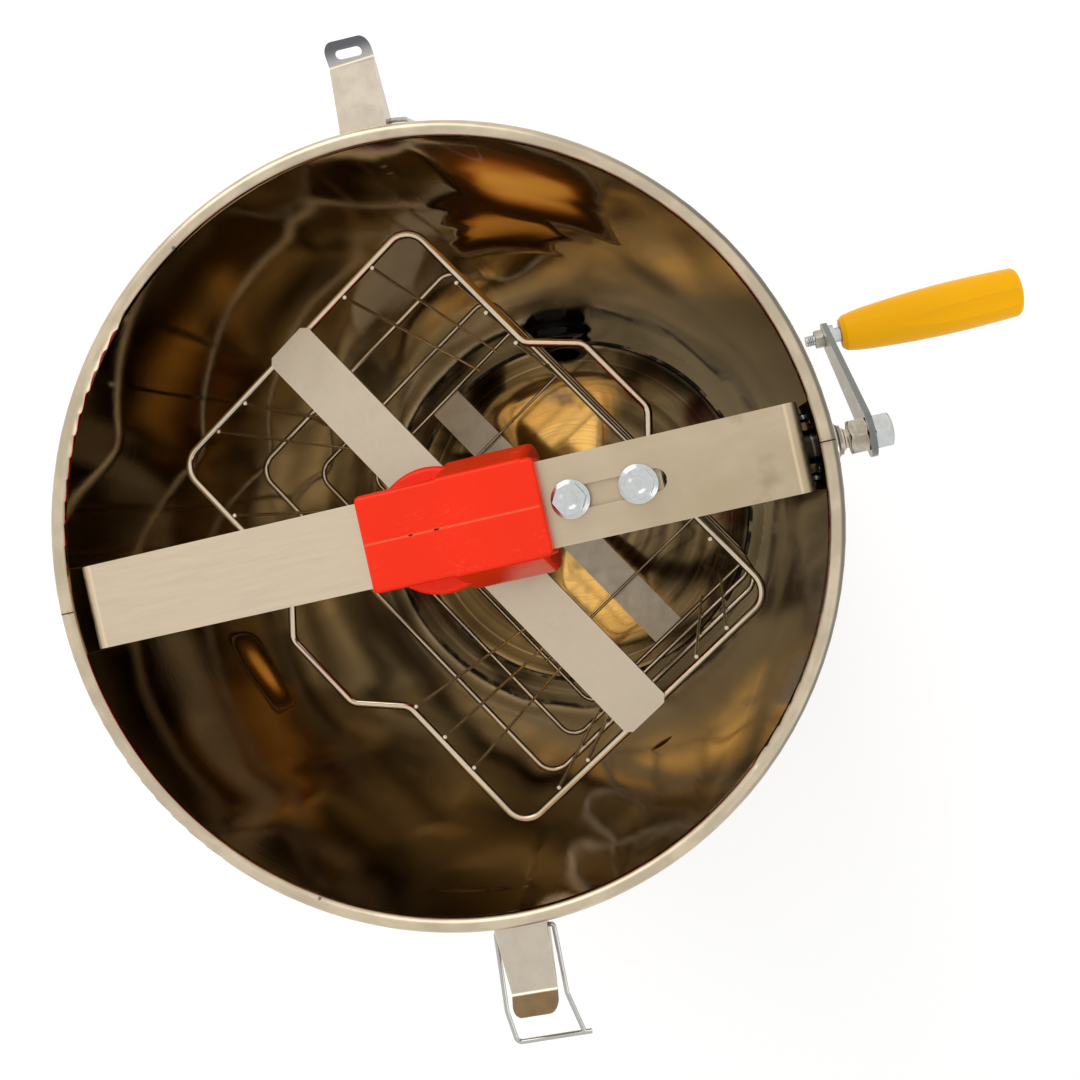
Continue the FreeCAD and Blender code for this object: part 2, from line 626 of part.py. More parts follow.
def wall_bush():
    bore = DRIVE_RADIUS + RUNNING
    lip = BUSH_RADIUS - 1.5
    return lathe_x([(BUSH_START, bore), (BUSH_START, BUSH_RADIUS), (BUSH_END - 2.5, BUSH_RADIUS),
                    (BUSH_END - 1.5, lip + 0.5), (BUSH_END, lip), (BUSH_END, bore)], DRIVE_Z)


# ---------------------------------------------------------------- gear cover
def cover_form(inset):
    """Outer form of the gear cover, or its hollow when inset is the wall thickness."""
    top = RIM + COVER_TOP - inset
    bottom = RIM - COVER_BOTTOM_DROP - (REACH if inset else 0)
    turret_top = RIM - SADDLE_DROP - inset
    edge = COVER_EDGE - inset * 0.8
    half = SADDLE_HALF - inset
    saddle = box(Vector(COVER_LEFT + inset, -half, turret_top - SADDLE_LAP), Vector(COVER_RIGHT - inset, half, top))
    saddle = saddle.makeFillet(edge, [e for e in saddle.Edges if e.BoundBox.ZMax > top - 1e-6])
    turret = Part.makeCylinder(TURRET_RADIUS - inset, turret_top - bottom, Vector(0, 0, bottom))
    turret = turret.makeFillet(edge, [e for e in turret.Edges if abs(e.BoundBox.ZMin - turret_top) < 1e-6])
    wheel_box = Part.Face(Part.Wire(wheel_box_outline(inset)))
    wheel_box = wheel_box.extrude(X_AXIS * (BOX_END - BOX_LEFT - 2 * inset))
    rounded = [e for e in wheel_box.Edges if e.BoundBox.XLength < 1 or e.BoundBox.ZMin > top - 1e-6]
    return turret.multiFuse([saddle, wheel_box.makeFillet(edge, rounded)]).removeSplitter()


def wheel_box_side(inset):
    """Where the straight side of the wheel's housing runs into its round part: half width and height."""
    half = SADDLE_HALF - inset
    rise = RIM + COVER_TOP - inset - DRIVE_Z
    radius = BOX_RADIUS - inset
    lean = math.atan2(half, rise) + math.acos(radius / math.hypot(half, rise))
    return radius * math.sin(lean), DRIVE_Z + radius * math.cos(lean)


def wheel_box_outline(inset):
    """Section of the wheel's housing: flat top, sides running out to a round about the drive shaft."""
    x = BOX_LEFT + inset
    half = SADDLE_HALF - inset
    top = RIM + COVER_TOP - inset
    wide, high = wheel_box_side(inset)
    a, b = Vector(x, -half, top), Vector(x, half, top)
    c, d = Vector(x, wide, high), Vector(x, -wide, high)
    low = Vector(x, 0, DRIVE_Z - BOX_RADIUS + inset)
    return [Part.LineSegment(a, b).toShape(), Part.LineSegment(b, c).toShape(),
            Part.Arc(c, low, d).toShape(), Part.LineSegment(d, a).toShape()]


def cover_screw_places():
    """x, z and outer half width at each of the cover's screws."""
    low = RIM - COVER_BOTTOM_DROP + 2 * RIVET_HEAD
    high = BAR_UNDER - 2 * SCREW_BOSS
    wide, side_z = wheel_box_side(0)
    right_half = SADDLE_HALF + (wide - SADDLE_HALF) * (RIM + COVER_TOP - high) / (RIM + COVER_TOP - side_z)
    turret_x = -TURRET_RADIUS * 0.7
    right_x = BOX_END - 1.6 * SCREW_BOSS
    right_low = DRIVE_Z - BOX_RADIUS * 0.7
    return [(COVER_LEFT + 1.8 * SCREW_BOSS, high, SADDLE_HALF),
            (right_x, high, right_half),
            (right_x, right_low, math.sqrt(BOX_RADIUS ** 2 - (DRIVE_Z - right_low) ** 2)),
            (turret_x, low, math.sqrt(TURRET_RADIUS ** 2 - turret_x ** 2))]


def gear_cover():
    """Both halves of the moulded cover: shells clamped round the bar, with screw bosses."""
    outer = cover_form(0)
    shell = outer.cut(cover_form(COVER_SHEET))
    posts = [rod(Vector(x, -half, z), Vector(x, half, z), SCREW_BOSS) for x, z, half in cover_screw_places()]
    shell = shell.multiFuse([post.common(outer) for post in posts])
    bar_half = BAR_WIDTH / 2 + COVER_FIT
    tools = [box(Vector(COVER_LEFT - REACH, -bar_half, BAR_UNDER - COVER_FIT),
                 Vector(COVER_RIGHT + REACH, bar_half, BAR_TOP + COVER_FIT))]
    tools.append(rod(Vector(BOX_END - REACH / 2, 0, DRIVE_Z), Vector(BOX_END + REACH, 0, DRIVE_Z), DRIVE_RADIUS + 2))
    for x in SLIT_X:
        tools.append(box(Vector(x - SLIT_HALF, -SLIT_HALF / 3, RIM),
                         Vector(x + SLIT_HALF, SLIT_HALF / 3, RIM + COVER_TOP + 1)))
    for x, z, half in cover_screw_places():
        tools.append(rod(Vector(x, -half + SCREW_SINK, z), Vector(x, half, z), SCREW + RUNNING))
        tools.append(rod(Vector(x, half - SCREW_SINK, z), Vector(x, half + REACH, z), SCREW_HEAD + COVER_FIT))
    shell = cut_all(shell, tools)
    far = WALL_IN
    left = shell.common(box(Vector(-far, -far, 0), Vector(far, -PARTING / 2, RIM + far)))
    right = shell.common(box(Vector(-far, PARTING / 2, 0), Vector(far, far, RIM + far)))
    return left, right


def cover_screws():
    screws = []
    for x, z, half in cover_screw_places():
        seat = half - SCREW_SINK
        shank = rod(Vector(x, -half + SCREW_SINK + SCREW, z), Vector(x, seat + 1, z), SCREW)
        head = lathe_y([(seat + SEAT, 0), (seat + SEAT, SCREW_HEAD), (seat + 1.6, SCREW_HEAD),
                        (seat + 2.4, SCREW_HEAD - 1.4), (seat + 2.4, 0)], x, z)
        screws.append(shank.fuse(head))
    return screws


# ---------------------------------------------------------------- bevel gears
def involute_half_angle(radius, base_radius, teeth):
    """Half the angle of a tooth at a radius of the virtual spur gear."""
    roll = math.acos(min(1.0, base_radius / radius))
    at_pitch = math.tan(PRESSURE) - PRESSURE
    return math.pi / (2 * teeth) + at_pitch - (math.tan(roll) - roll)


def tooth_space(teeth, pitch_angle):
    """Cutter for one space of a straight bevel gear: apex at the origin, axis +X, space on the +Z side."""
    pitch_radius = GEAR_MODULE * teeth / 2
    virtual = pitch_radius / math.cos(pitch_angle)
    virtual_teeth = teeth / math.cos(pitch_angle)
    base = virtual * math.cos(PRESSURE)
    root = virtual - 1.25 * GEAR_MODULE
    tip = virtual + GEAR_MODULE
    slack = BACKLASH / 2 / virtual
    levels = [root, max(base, root) + 0.15, virtual, virtual + GEAR_MODULE * 0.55, tip + 0.6]
    flank = []
    for radius in levels:
        tooth = involute_half_angle(max(radius, base), base, virtual_teeth)
        space = math.pi / virtual_teeth - tooth + slack
        flank.append((radius * math.sin(space), radius * math.cos(space) - virtual))
    outline = [(-u, v) for u, v in flank] + list(reversed(flank))
    along = Vector(math.cos(pitch_angle), 0, math.sin(pitch_angle))
    outward = Vector(-math.sin(pitch_angle), 0, math.cos(pitch_angle))
    wires = []
    for scale in (0.62, 1.14):
        points = [(along * CONE_LENGTH + outward * v + Y_AXIS * u) * scale for u, v in outline]
        wires.append(Part.makePolygon(points + points[:1]))
    return Part.makeLoft(wires, True, True)


def bevel_gear(teeth, pitch_angle, back, first_space):
    """Bevel gear on the X axis with its apex at the origin. back closes the blank behind the teeth."""
    g = (math.cos(pitch_angle), math.sin(pitch_angle))
    n = (-g[1], g[0])
    inner = (CONE_LENGTH - FACE_WIDTH) / CONE_LENGTH

    def at(scale, depth):
        return ((g[0] * CONE_LENGTH + n[0] * depth) * scale, (g[1] * CONE_LENGTH + n[1] * depth) * scale)

    deep = -1.25 * GEAR_MODULE - 0.8
    blank = [at(inner, deep), at(inner, GEAR_MODULE), at(1, GEAR_MODULE), at(1, deep)] + back
    body = lathe_x(blank, 0)
    cutter = tooth_space(teeth, pitch_angle)
    step = 360.0 / teeth
    cutters = [turned(cutter, first_space + step * k, X_AXIS) for k in range(teeth)]
    return cut_all(body, cutters)


def drive_gear():
    """Large bevel wheel with a hub, on the drive shaft."""
    angle = math.atan2(WHEEL_PITCH, PINION_PITCH)
    bore = DRIVE_RADIUS + RUNNING
    back = [(20, 24.5), (20, 11), (WHEEL_HUB_END, 11), (WHEEL_HUB_END, bore), (11.5, bore), (11.5, 10),
            (15, 10.5), (15, 17)]
    half_step = 180.0 / WHEEL_TEETH
    wheel = bevel_gear(WHEEL_TEETH, angle, back, 180 + half_step)
    wheel.translate(Vector(0, 0, DRIVE_Z))
    pin = rod(Vector(WHEEL_PIN_X, 0, DRIVE_Z - REACH), Vector(WHEEL_PIN_X, 0, DRIVE_Z + REACH), PIN + RUNNING)
    return wheel.cut(pin)


def cage_gear():
    """Small bevel gear with a hub, on the cage shaft."""
    angle = math.atan2(PINION_PITCH, WHEEL_PITCH)
    bore = CAGE_SHAFT_RADIUS + RUNNING
    back = [(34, 11), (PINION_HUB_END, 11), (PINION_HUB_END, bore), (21.5, bore)]
    pinion = bevel_gear(PINION_TEETH, angle, back, 0)
    pinion.rotate(ORIGIN, Y_AXIS, 90)
    pinion.translate(Vector(0, 0, DRIVE_Z))
    z = CAGE_PIN_Z
    return pinion.cut(cage_place(rod(Vector(-REACH, 0, z), Vector(REACH, 0, z), PIN + RUNNING)))


# ---------------------------------------------------------------- cage
def cage_place(shape):
    return turned(shape, CAGE_ANGLE)


def cage_shaft():
    """Full-length shaft: plain top journal, lower pivot with a blunt cone."""
    tip = PIVOT_FLOOR + 0.3
    r = CAGE_SHAFT_RADIUS
    top = BAR_TOP + 1
    shaft = lathe_z([(tip, 0), (tip, 2), (tip + 3, PIVOT_RADIUS), (PIVOT_SHOULDER, PIVOT_RADIUS),
                     (PIVOT_SHOULDER + 2, r), (top - 1, r), (top, r - 1), (top, 0)])
    tools = [rod(Vector(-REACH, 0, CAGE_PIN_Z), Vector(REACH, 0, CAGE_PIN_Z), PIN + RUNNING)]
    for z in HUB_PIN_Z:
        tools.append(rod(Vector(-REACH, 0, z), Vector(REACH, 0, z), PIN + RUNNING))
    return cut_all(shaft, tools)


def cage_strip(top, rod_radius):
    """Flat strip across the cage, with cut corners and a hole for the shaft."""
    end = HOOP_HALF_LENGTH + rod_radius * 2
    half = STRIP_WIDTH / 2
    c = STRIP_CORNER
    corners = [(-end, -half + c), (-end + c, -half), (end - c, -half), (end, -half + c),
               (end, half - c), (end - c, half), (-end + c, half), (-end, half - c)]
    points = [Vector(x, y, top - STRIP_SHEET) for x, y in corners]
    plate = Part.Face(Part.makePolygon(points + points[:1])).extrude(Vector(0, 0, STRIP_SHEET))
    return plate.cut(Part.makeCylinder(CAGE_SHAFT_RADIUS + RUNNING, REACH, Vector(0, 0, top - REACH / 2)))


def hub(top):
    ring = lathe_z([(top - HUB_HEIGHT, CAGE_SHAFT_RADIUS + RUNNING), (top - HUB_HEIGHT, HUB_RADIUS - 1),
                    (top - HUB_HEIGHT + 1, HUB_RADIUS), (top, HUB_RADIUS), (top, CAGE_SHAFT_RADIUS + RUNNING)])
    z = top - HUB_HEIGHT / 2
    return ring.cut(rod(Vector(-REACH, 0, z), Vector(REACH, 0, z), PIN + RUNNING))


def hoop(z, rod_radius):
    """Closed rectangular hoop of bent rod."""
    s = HOOP_HALF_LENGTH + rod_radius
    t = HOOP_HALF_WIDTH + rod_radius
    points = [Vector(-s, -t, z), Vector(s, -t, z), Vector(s, t, z), Vector(-s, t, z)]
    return bent_rod(points, HOOP_BEND, rod_radius, True)


def top_hoop():
    """Top hoop: its long sides step outwards in the middle."""
    s = HOOP_HALF_LENGTH + TOP_ROD
    t = HOOP_HALF_WIDTH + TOP_ROD
    out = t + BULGE_DEPTH
    side = [(-s, t), (-BULGE_HALF, t), (-BULGE_FLAT_HALF, out), (BULGE_FLAT_HALF, out), (BULGE_HALF, t), (s, t)]
    ring = [Vector(x, -y, TOP_HOOP_Z) for x, y in side] + [Vector(-x, y, TOP_HOOP_Z) for x, y in side]
    bends = ([HOOP_BEND] + [BULGE_BEND] * 4 + [HOOP_BEND]) * 2
    return bent_rod(ring, bends, TOP_ROD, True)


def upright_wires():
    """Upright wires inside the hoops: along the long sides, and along the ends."""
    low = BOTTOM_HOOP_Z - HOOP_ROD
    high = TOP_HOOP_Z + TOP_ROD
    inset = WIRE + SEAT
    side = HOOP_HALF_WIDTH - inset
    end = HOOP_HALF_LENGTH - inset
    side_feet = [Vector(s * a, t * side, low) for s in (-1, 1) for t in (-1, 1) for a in SIDE_WIRE_S]
    end_feet = [Vector(s * end, t * a, low) for s in (-1, 1) for t in (-1, 1) for a in END_WIRE_T]
    up = Z_AXIS * (high - low)
    return [rod(foot, foot + up, WIRE) for foot in side_feet], [rod(foot, foot + up, WIRE) for foot in end_feet]


def base_wires():
    """Rests for the frames, laid across the bottom hoop."""
    z = BOTTOM_HOOP_Z + HOOP_ROD + SEAT + BASE_WIRE
    t = HOOP_HALF_WIDTH + HOOP_ROD * 2
    return [rod(Vector(s * BASE_WIRE_S, -t, z), Vector(s * BASE_WIRE_S, t, z), BASE_WIRE) for s in (-1, 1)]


def cross_pin(z, half_length):
    return rod(Vector(-half_length, 0, z), Vector(half_length, 0, z), PIN)


# ---------------------------------------------------------------- crank
def grip_centre():
    angle = math.radians(CRANK_ANGLE)
    return CRANK_LENGTH * math.cos(angle), DRIVE_Z + CRANK_LENGTH * math.sin(angle)


def drive_shaft():
    """Plain shaft, turned down to M10 outside the bush."""
    start = DRIVE_START
    step = BUSH_END + 1.5
    end = ARM_X + ARM_SHEET + SEAT + CAP_BORE - 0.4
    r = DRIVE_RADIUS
    shaft = lathe_x([(start, 0), (start, r - 1), (start + 1, r), (step - 0.5, r), (step, r - 0.5), (step, M10),
                     (end - 1, M10), (end, M10 - 1), (end, 0)], DRIVE_Z)
    pin = rod(Vector(WHEEL_PIN_X, 0, DRIVE_Z - REACH), Vector(WHEEL_PIN_X, 0, DRIVE_Z + REACH), PIN + RUNNING)
    return shaft.cut(pin)


def drive_collar():
    """Shaft collar that takes the end play against the bearing block."""
    start = BLOCK_START + BLOCK_LENGTH + 0.3
    end = start + COLLAR_LENGTH
    bore = DRIVE_RADIUS + RUNNING
    return lathe_x([(start, bore), (start, COLLAR - 1), (start + 0.8, COLLAR), (end - 0.8, COLLAR),
                    (end, COLLAR - 1), (end, bore)], DRIVE_Z)


def crank_arm():
    """Flat arm with a round eye at each end."""
    arm = tapered_link(ARM_HUB, ARM_END, CRANK_LENGTH).extrude(Z_AXIS * ARM_SHEET)
    for x, radius in ((0, M10), (CRANK_LENGTH, M6)):
        arm = arm.cut(rod(Vector(x, 0, -REACH), Vector(x, 0, REACH), radius + RUNNING))
    arm.rotate(ORIGIN, Z_AXIS, CRANK_ANGLE)
    arm.Placement = Placement(Vector(ARM_X, 0, DRIVE_Z), Rotation(Y_AXIS, Z_AXIS, X_AXIS, "XYZ")) * arm.Placement
    return arm


def crank_locknut():
    start = Vector(ARM_X - SEAT - NUT_LENGTH, 0, DRIVE_Z)
    end = Vector(ARM_X - SEAT, 0, DRIVE_Z)
    return hexagon(SHAFT_HEX, start, end).cut(rod(start - X_AXIS, end + X_AXIS, M10 + RUNNING))


def crank_cap_nut():
    """Hexagon cap nut with a rounded crown."""
    start = ARM_X + ARM_SHEET + SEAT
    end = start + CAP_LENGTH
    wide = SHAFT_HEX / math.sqrt(3)
    nut = hexagon(SHAFT_HEX, Vector(start, 0, DRIVE_Z), Vector(end, 0, DRIVE_Z))
    crown = lathe_x([(start, 0), (start, wide + 0.1), (end - 2.6, wide + 0.1), (end - 0.9, wide * 0.84),
                     (end, wide * 0.6), (end, 0)], DRIVE_Z)
    bore = rod(Vector(start - 1, 0, DRIVE_Z), Vector(start + CAP_BORE, 0, DRIVE_Z), M10 + RUNNING)
    return nut.common(crown).cut(bore)


def grip_hardware():
    """Bolt, nut and stepped collar of the grip, at the arm's outer eye."""
    y, z = grip_centre()
    arm_out = ARM_X + ARM_SHEET + SEAT
    head = GRIP_START + GRIP_LENGTH - GRIP_SINK
    tail = Vector(ARM_X - GRIP_TAIL, y, z)
    bolt = rod(tail, Vector(head + 1, y, z), M6)
    bolt = bolt.fuse(hexagon(GRIP_HEX, Vector(head + 0.3, y, z), Vector(head + GRIP_NUT, y, z)))
    nut_end = Vector(ARM_X - SEAT, y, z)
    nut = hexagon(GRIP_HEX, nut_end - X_AXIS * GRIP_NUT, nut_end).cut(rod(tail, nut_end, M6 + RUNNING))
    bore = M6 + RUNNING
    step = arm_out + GRIP_NUT * 0.6
    end = GRIP_START - 0.3
    collar = lathe_x([(arm_out, bore), (arm_out, COLLAR_RADIUS), (step, COLLAR_RADIUS), (step, NECK),
                      (end, NECK), (end, bore)], 0)
    return bolt, nut, moved(collar, Vector(0, y, z))


def crank_grip():
    """Moulded grip: slim at the arm, full beyond its middle, with two shallow finger grooves."""
    y, z = grip_centre()
    a = GRIP_START
    b = GRIP_START + GRIP_LENGTH
    shape = [Vector(a + share * GRIP_LENGTH, 0, size * GRIP_RADIUS) for share, size in GRIP_SHAPE]
    nose = Vector(a, 0, GRIP_RADIUS * 0.58)
    rim = Vector(b, 0, GRIP_RADIUS * 0.7)
    full = shape[-1]
    curve = Part.BSplineCurve()
    curve.interpolate(shape)
    edges = [Part.LineSegment(nose, shape[0]).toShape(), curve.toShape()]
    edges.append(Part.Arc(full, (full + rim) * 0.5 + Vector(0.9, 0, 0.9), rim).toShape())
    bore = M6 + RUNNING
    inner = [rim, Vector(b, 0, GRIP_SOCKET), Vector(b - GRIP_SINK, 0, GRIP_SOCKET),
             Vector(b - GRIP_SINK, 0, bore), Vector(a, 0, bore), nose]
    edges += [Part.LineSegment(p, q).toShape() for p, q in zip(inner, inner[1:])]
    body = revolved(edges, ORIGIN, X_AXIS)
    groove = rod(Vector(a + GRIP_LENGTH * 0.3, 0, GRIP_RADIUS * 0.95 + GROOVE),
                 Vector(b + REACH, 0, GRIP_RADIUS * 0.8 + GROOVE), GROOVE)
    for angle in (18.0, 198.0):
        body = body.cut(turned(groove, angle, X_AXIS))
    return moved(body, Vector(0, y, z))


# ---------------------------------------------------------------- latches
def latch_base():
    """Riveted base: back plate with two ears that carry the lever's pin."""
    y = WALL_OUT + 0.1
    foot = RIM - LATCH_FOOT_DROP
    plate = box(Vector(-LATCH_BASE_HALF, y, foot), Vector(LATCH_BASE_HALF, y + LEVER_SHEET, RIM - LATCH_HEAD_DROP))
    lower = [e for e in plate.Edges if e.BoundBox.YLength > 1 and e.BoundBox.ZMax < foot + 1]
    plate = plate.makeFillet(LATCH_BASE_HALF * 0.65, lower)
    nose = 2.1 * PIN
    ears = []
    for side in (-1, 1):
        x = side * (LATCH_BASE_HALF - LEVER_SHEET / 2) - LEVER_SHEET / 2
        ears.append(rod(Vector(x, PIVOT_Y, PIVOT_Z), Vector(x + LEVER_SHEET, PIVOT_Y, PIVOT_Z), nose))
        web = [Vector(x, y + 0.5, PIVOT_Z + 8), Vector(x, PIVOT_Y, PIVOT_Z + nose),
               Vector(x, PIVOT_Y + nose * 0.8, PIVOT_Z - nose * 0.6), Vector(x, y + 0.5, PIVOT_Z - 14)]
        ears.append(Part.Face(Part.makePolygon(web + web[:1])).extrude(X_AXIS * LEVER_SHEET))
    base = plate.multiFuse(ears).removeSplitter()
    tools = [rod(Vector(-REACH, PIVOT_Y, PIVOT_Z), Vector(REACH, PIVOT_Y, PIVOT_Z), PIN + RUNNING)]
    for z in LATCH_RIVET_Z:
        tools.append(rod(Vector(0, WALL_IN, z), Vector(0, PIVOT_Y, z), RIVET + RUNNING))
    return cut_all(base, tools)


def latch_rivets():
    y = WALL_OUT + 0.1 + LEVER_SHEET
    return [dome_rivet(RIVET, RIVET_HEAD, Vector(0, WALL_IN, z), Vector(0, y, z)) for z in LATCH_RIVET_Z]


def latch_pin():
    """Headed pin through the ears and the lever's flanges."""
    half = LEVER_WIDTH / 2 + 0.3
    pin = rod(Vector(-half, PIVOT_Y, PIVOT_Z), Vector(half, PIVOT_Y, PIVOT_Z), PIN)
    for side in (-1, 1):
        end = Vector(side * half, PIVOT_Y, PIVOT_Z)
        pin = pin.fuse(rod(end, end + X_AXIS * side * PIN_HEAD_HEIGHT, PIN_HEAD))
    return pin


def latch_lever(wall_width, slotted):
    """Folded lever: top plate narrowing to its fold, two side flanges and a turned-up finger tab."""
    half = LEVER_WIDTH / 2
    top = RIM - LEVER_DROP
    z = top - LEVER_SHEET / 2
    start = WALL_OUT + LEVER_START
    fold = WALL_OUT + LEVER_REACH
    angle = math.radians(TAB_ANGLE)
    tab = Vector(0, TAB_LENGTH * math.cos(angle), TAB_LENGTH * math.sin(angle))
    edge = -wall_width / 2
    path = [Vector(edge, start, z), Vector(edge, fold, z), Vector(edge, fold, z) + tab]
    plate = strip_face(path, LEVER_SHEET * 1.7, LEVER_SHEET).extrude(X_AXIS * wall_width)
    tip = fold + tab.y - 0.5
    sides = [Vector(edge, start - 1, z - REACH), Vector(-half, fold, z - REACH), Vector(-half, tip, z - REACH),
             Vector(half, tip, z - REACH), Vector(half, fold, z - REACH), Vector(-edge, start - 1, z - REACH)]
    outline = Part.Face(Part.makePolygon(sides + sides[:1])).extrude(Z_AXIS * 2 * REACH)
    corners = [e for e in outline.Edges if e.BoundBox.ZLength > REACH and e.BoundBox.YMax > tip - 1]
    plate = plate.common(outline.makeFillet(TAB_CORNER, corners))
    if slotted:
        slot = stadium(-TAB_SLOT_HALF, TAB_SLOT_HALF, TAB_SLOT_RADIUS, -REACH, REACH)
        slot.Placement = Placement(Vector(0, fold, z) + tab * TAB_SLOT_SHARE, Rotation(X_AXIS, TAB_ANGLE))
        plate = plate.cut(slot)
    heel = 2.3 * PIN
    flanges = []
    for side in (-1, 1):
        x = side * (half - LEVER_SHEET / 2) - LEVER_SHEET / 2
        web = [(start, top), (fold - 2, top), (fold - 2, top - 2.5), (start + 10, PIVOT_Z - heel),
               (PIVOT_Y + 1, PIVOT_Z - heel), (PIVOT_Y - heel, PIVOT_Z - 1.7), (PIVOT_Y - heel + 0.4, PIVOT_Z + 2.6)]
        points = [Vector(x, a, b) for a, b in web]
        flanges.append(Part.Face(Part.makePolygon(points + points[:1])).extrude(X_AXIS * LEVER_SHEET))
    lever = plate.multiFuse(flanges).removeSplitter()
    tools = [rod(Vector(-REACH, PIVOT_Y, PIVOT_Z), Vector(REACH, PIVOT_Y, PIVOT_Z), PIN + RUNNING),
             rod(Vector(-REACH, BAIL_Y, BAIL_Z), Vector(REACH, BAIL_Y, BAIL_Z), BAIL_WIRE + RUNNING)]
    return cut_all(lever, tools)


def latch_bail(right_leg, left_leg, angle):
    """Wire bail: ends turned in through the lever's flanges. The right leg runs on as the cross wire."""
    inner = LEVER_WIDTH / 2 - LEVER_SHEET - 1
    last = left_leg[-1][0]
    right = [Vector(inner, 0, 0)] + [Vector(x, y, 0) for x, y in right_leg]
    right.append(Vector(-last - BAIL_TAIL, BAIL_LENGTH, 0))
    left = [Vector(-inner, 0, 0)] + [Vector(-x, y, 0) for x, y in left_leg]
    bends = [BAIL_EYE_BEND, BAIL_EYE_BEND] + [BAIL_BEND] * len(right)
    wire = bent_rod(right, bends, BAIL_WIRE).fuse(bent_rod(left, bends, BAIL_WIRE))
    wire.rotate(ORIGIN, X_AXIS, angle)
    return moved(wire, Vector(0, BAIL_Y, BAIL_Z))


def bail_legs(name):
    """Right and left leg of a bail, as half spreads and distances from its pivot."""
    side = LEVER_FLARE[name] / 2 + BAIL_WIRE + 0.3
    fold = LEVER_WIDTH / 2 + BAIL_WIRE + 0.6
    if name == "front":
        return ([(side, 0), (BAIL_BOW, BAIL_KINK), (BAIL_HALF, BAIL_LENGTH)],
                [(side, 0), (fold, BAIL_KINK - 5), (BAIL_HALF, BAIL_LENGTH)])
    return [(side + 1.3, 0), (BAIL_BOW, 5), (BAIL_BOW + 1.5, BAIL_LENGTH)], [(side, 0), (side + 0.4, BAIL_LENGTH)]


# ---------------------------------------------------------------- honey gate
def gate_place(shape):
    return turned(shape, GATE_ANGLE - 90)


def gate_plate(disc, ear, start, end):
    """Round plate with an ear on each side, between two distances from the axis."""
    shapes = [rod(Vector(0, start, GATE_HEIGHT), Vector(0, end, GATE_HEIGHT), disc)]
    for side in (-1, 1):
        link = tapered_link(disc * 0.62, ear, GATE_EAR).extrude(Vector(0, 0, end - start))
        stand = Rotation(X_AXIS * side, Z_AXIS * -side, Y_AXIS, "XYZ")
        link.Placement = Placement(Vector(0, start, GATE_HEIGHT), stand)
        shapes.append(link)
    return shapes[0].multiFuse(shapes[1:]).removeSplitter()


def gate_body():
    """Moulded gate body: threaded pipe through the wall, flange, and the seat for the flap."""
    turned_part = lathe_y([(GATE_NUT_FACE - 1, GATE_BORE), (GATE_NUT_FACE - 1, GATE_PIPE),
                           (GATE_FLANGE, GATE_PIPE), (GATE_FLANGE, 31), (GATE_FLANGE + 4, 31),
                           (GATE_FLANGE + 6, 26), (GATE_SEAT, 26), (GATE_SEAT, GATE_BORE)], 0, GATE_HEIGHT)
    plate = gate_plate(26, 7, GATE_SEAT - 6, GATE_SEAT)
    body = turned_part.fuse(plate)
    tools = [rod(Vector(0, GATE_NUT_FACE - 5, GATE_HEIGHT), Vector(0, GATE_SEAT + 5, GATE_HEIGHT), GATE_BORE)]
    for side in (-1, 1):
        tools.append(rod(Vector(side * GATE_EAR, GATE_SEAT - 12, GATE_HEIGHT),
                         Vector(side * GATE_EAR, GATE_SEAT + 5, GATE_HEIGHT), M6 + RUNNING))
    return cut_all(body, tools).removeSplitter()


def gate_nut():
    start = Vector(0, GATE_NUT_FACE, GATE_HEIGHT)
    end = Vector(0, GATE_NUT_FACE + 9, GATE_HEIGHT)
    nut = hexagon(54, start, end).fuse(rod(end - Y_AXIS * 2, end, 28.5))
    return nut.cut(rod(start - Y_AXIS, end + Y_AXIS, GATE_PIPE + RUNNING))


def gate_gaskets():
    """Rubber seals between the wall and the flat faces of the flange and the nut."""
    bore = GATE_PIPE + 0.1
    outer = lathe_y([(WALL_IN - 4, bore), (WALL_IN - 4, 30), (GATE_FLANGE - 0.1, 30), (GATE_FLANGE - 0.1, bore)],
                    0, GATE_HEIGHT)
    outer = outer.cut(Part.makeCylinder(WALL_OUT + SEAT, 120, ORIGIN))
    inner = lathe_y([(GATE_NUT_FACE + 9.1, bore), (GATE_NUT_FACE + 9.1, 28), (WALL_IN + 2, 28), (WALL_IN + 2, bore)],
                    0, GATE_HEIGHT)
    inner = inner.common(Part.makeCylinder(WALL_IN - SEAT, 120, ORIGIN))
    return outer, inner


def gate_flap():
    """Swinging flap: closed eye on the pivot, open hook on the clamp's stud, finger tab."""
    start = GATE_SEAT + 0.15
    end = start + 5
    plate = gate_plate(25.5, 8, start, end)
    tab = box(Vector(GATE_EAR, start, GATE_HEIGHT - 2), Vector(GATE_EAR + 22, end, GATE_HEIGHT + 8))
    plate = plate.fuse(tab.makeFillet(3.5, [e for e in tab.Edges if e.BoundBox.YLength > 1
                                           and e.BoundBox.XMin > GATE_EAR + 20]))
    pivot = Vector(-GATE_EAR, start - 1, GATE_HEIGHT)
    reach = 2 * GATE_EAR
    slot = Part.makeCylinder(reach + M6 + 0.4, 8, pivot, Y_AXIS)
    slot = slot.cut(Part.makeCylinder(reach - M6 - 0.4, 8, pivot, Y_AXIS))
    slot = slot.common(box(Vector(0, start - 2, GATE_HEIGHT - 30), Vector(GATE_EAR * 2, end + 4, GATE_HEIGHT)))
    tools = [slot, rod(Vector(GATE_EAR, start - 1, GATE_HEIGHT), Vector(GATE_EAR, end + 1, GATE_HEIGHT), M6 + 0.4),
             rod(Vector(-GATE_EAR, start - 1, GATE_HEIGHT), Vector(-GATE_EAR, end + 1, GATE_HEIGHT), M6 + RUNNING)]
    return cut_all(plate, tools)


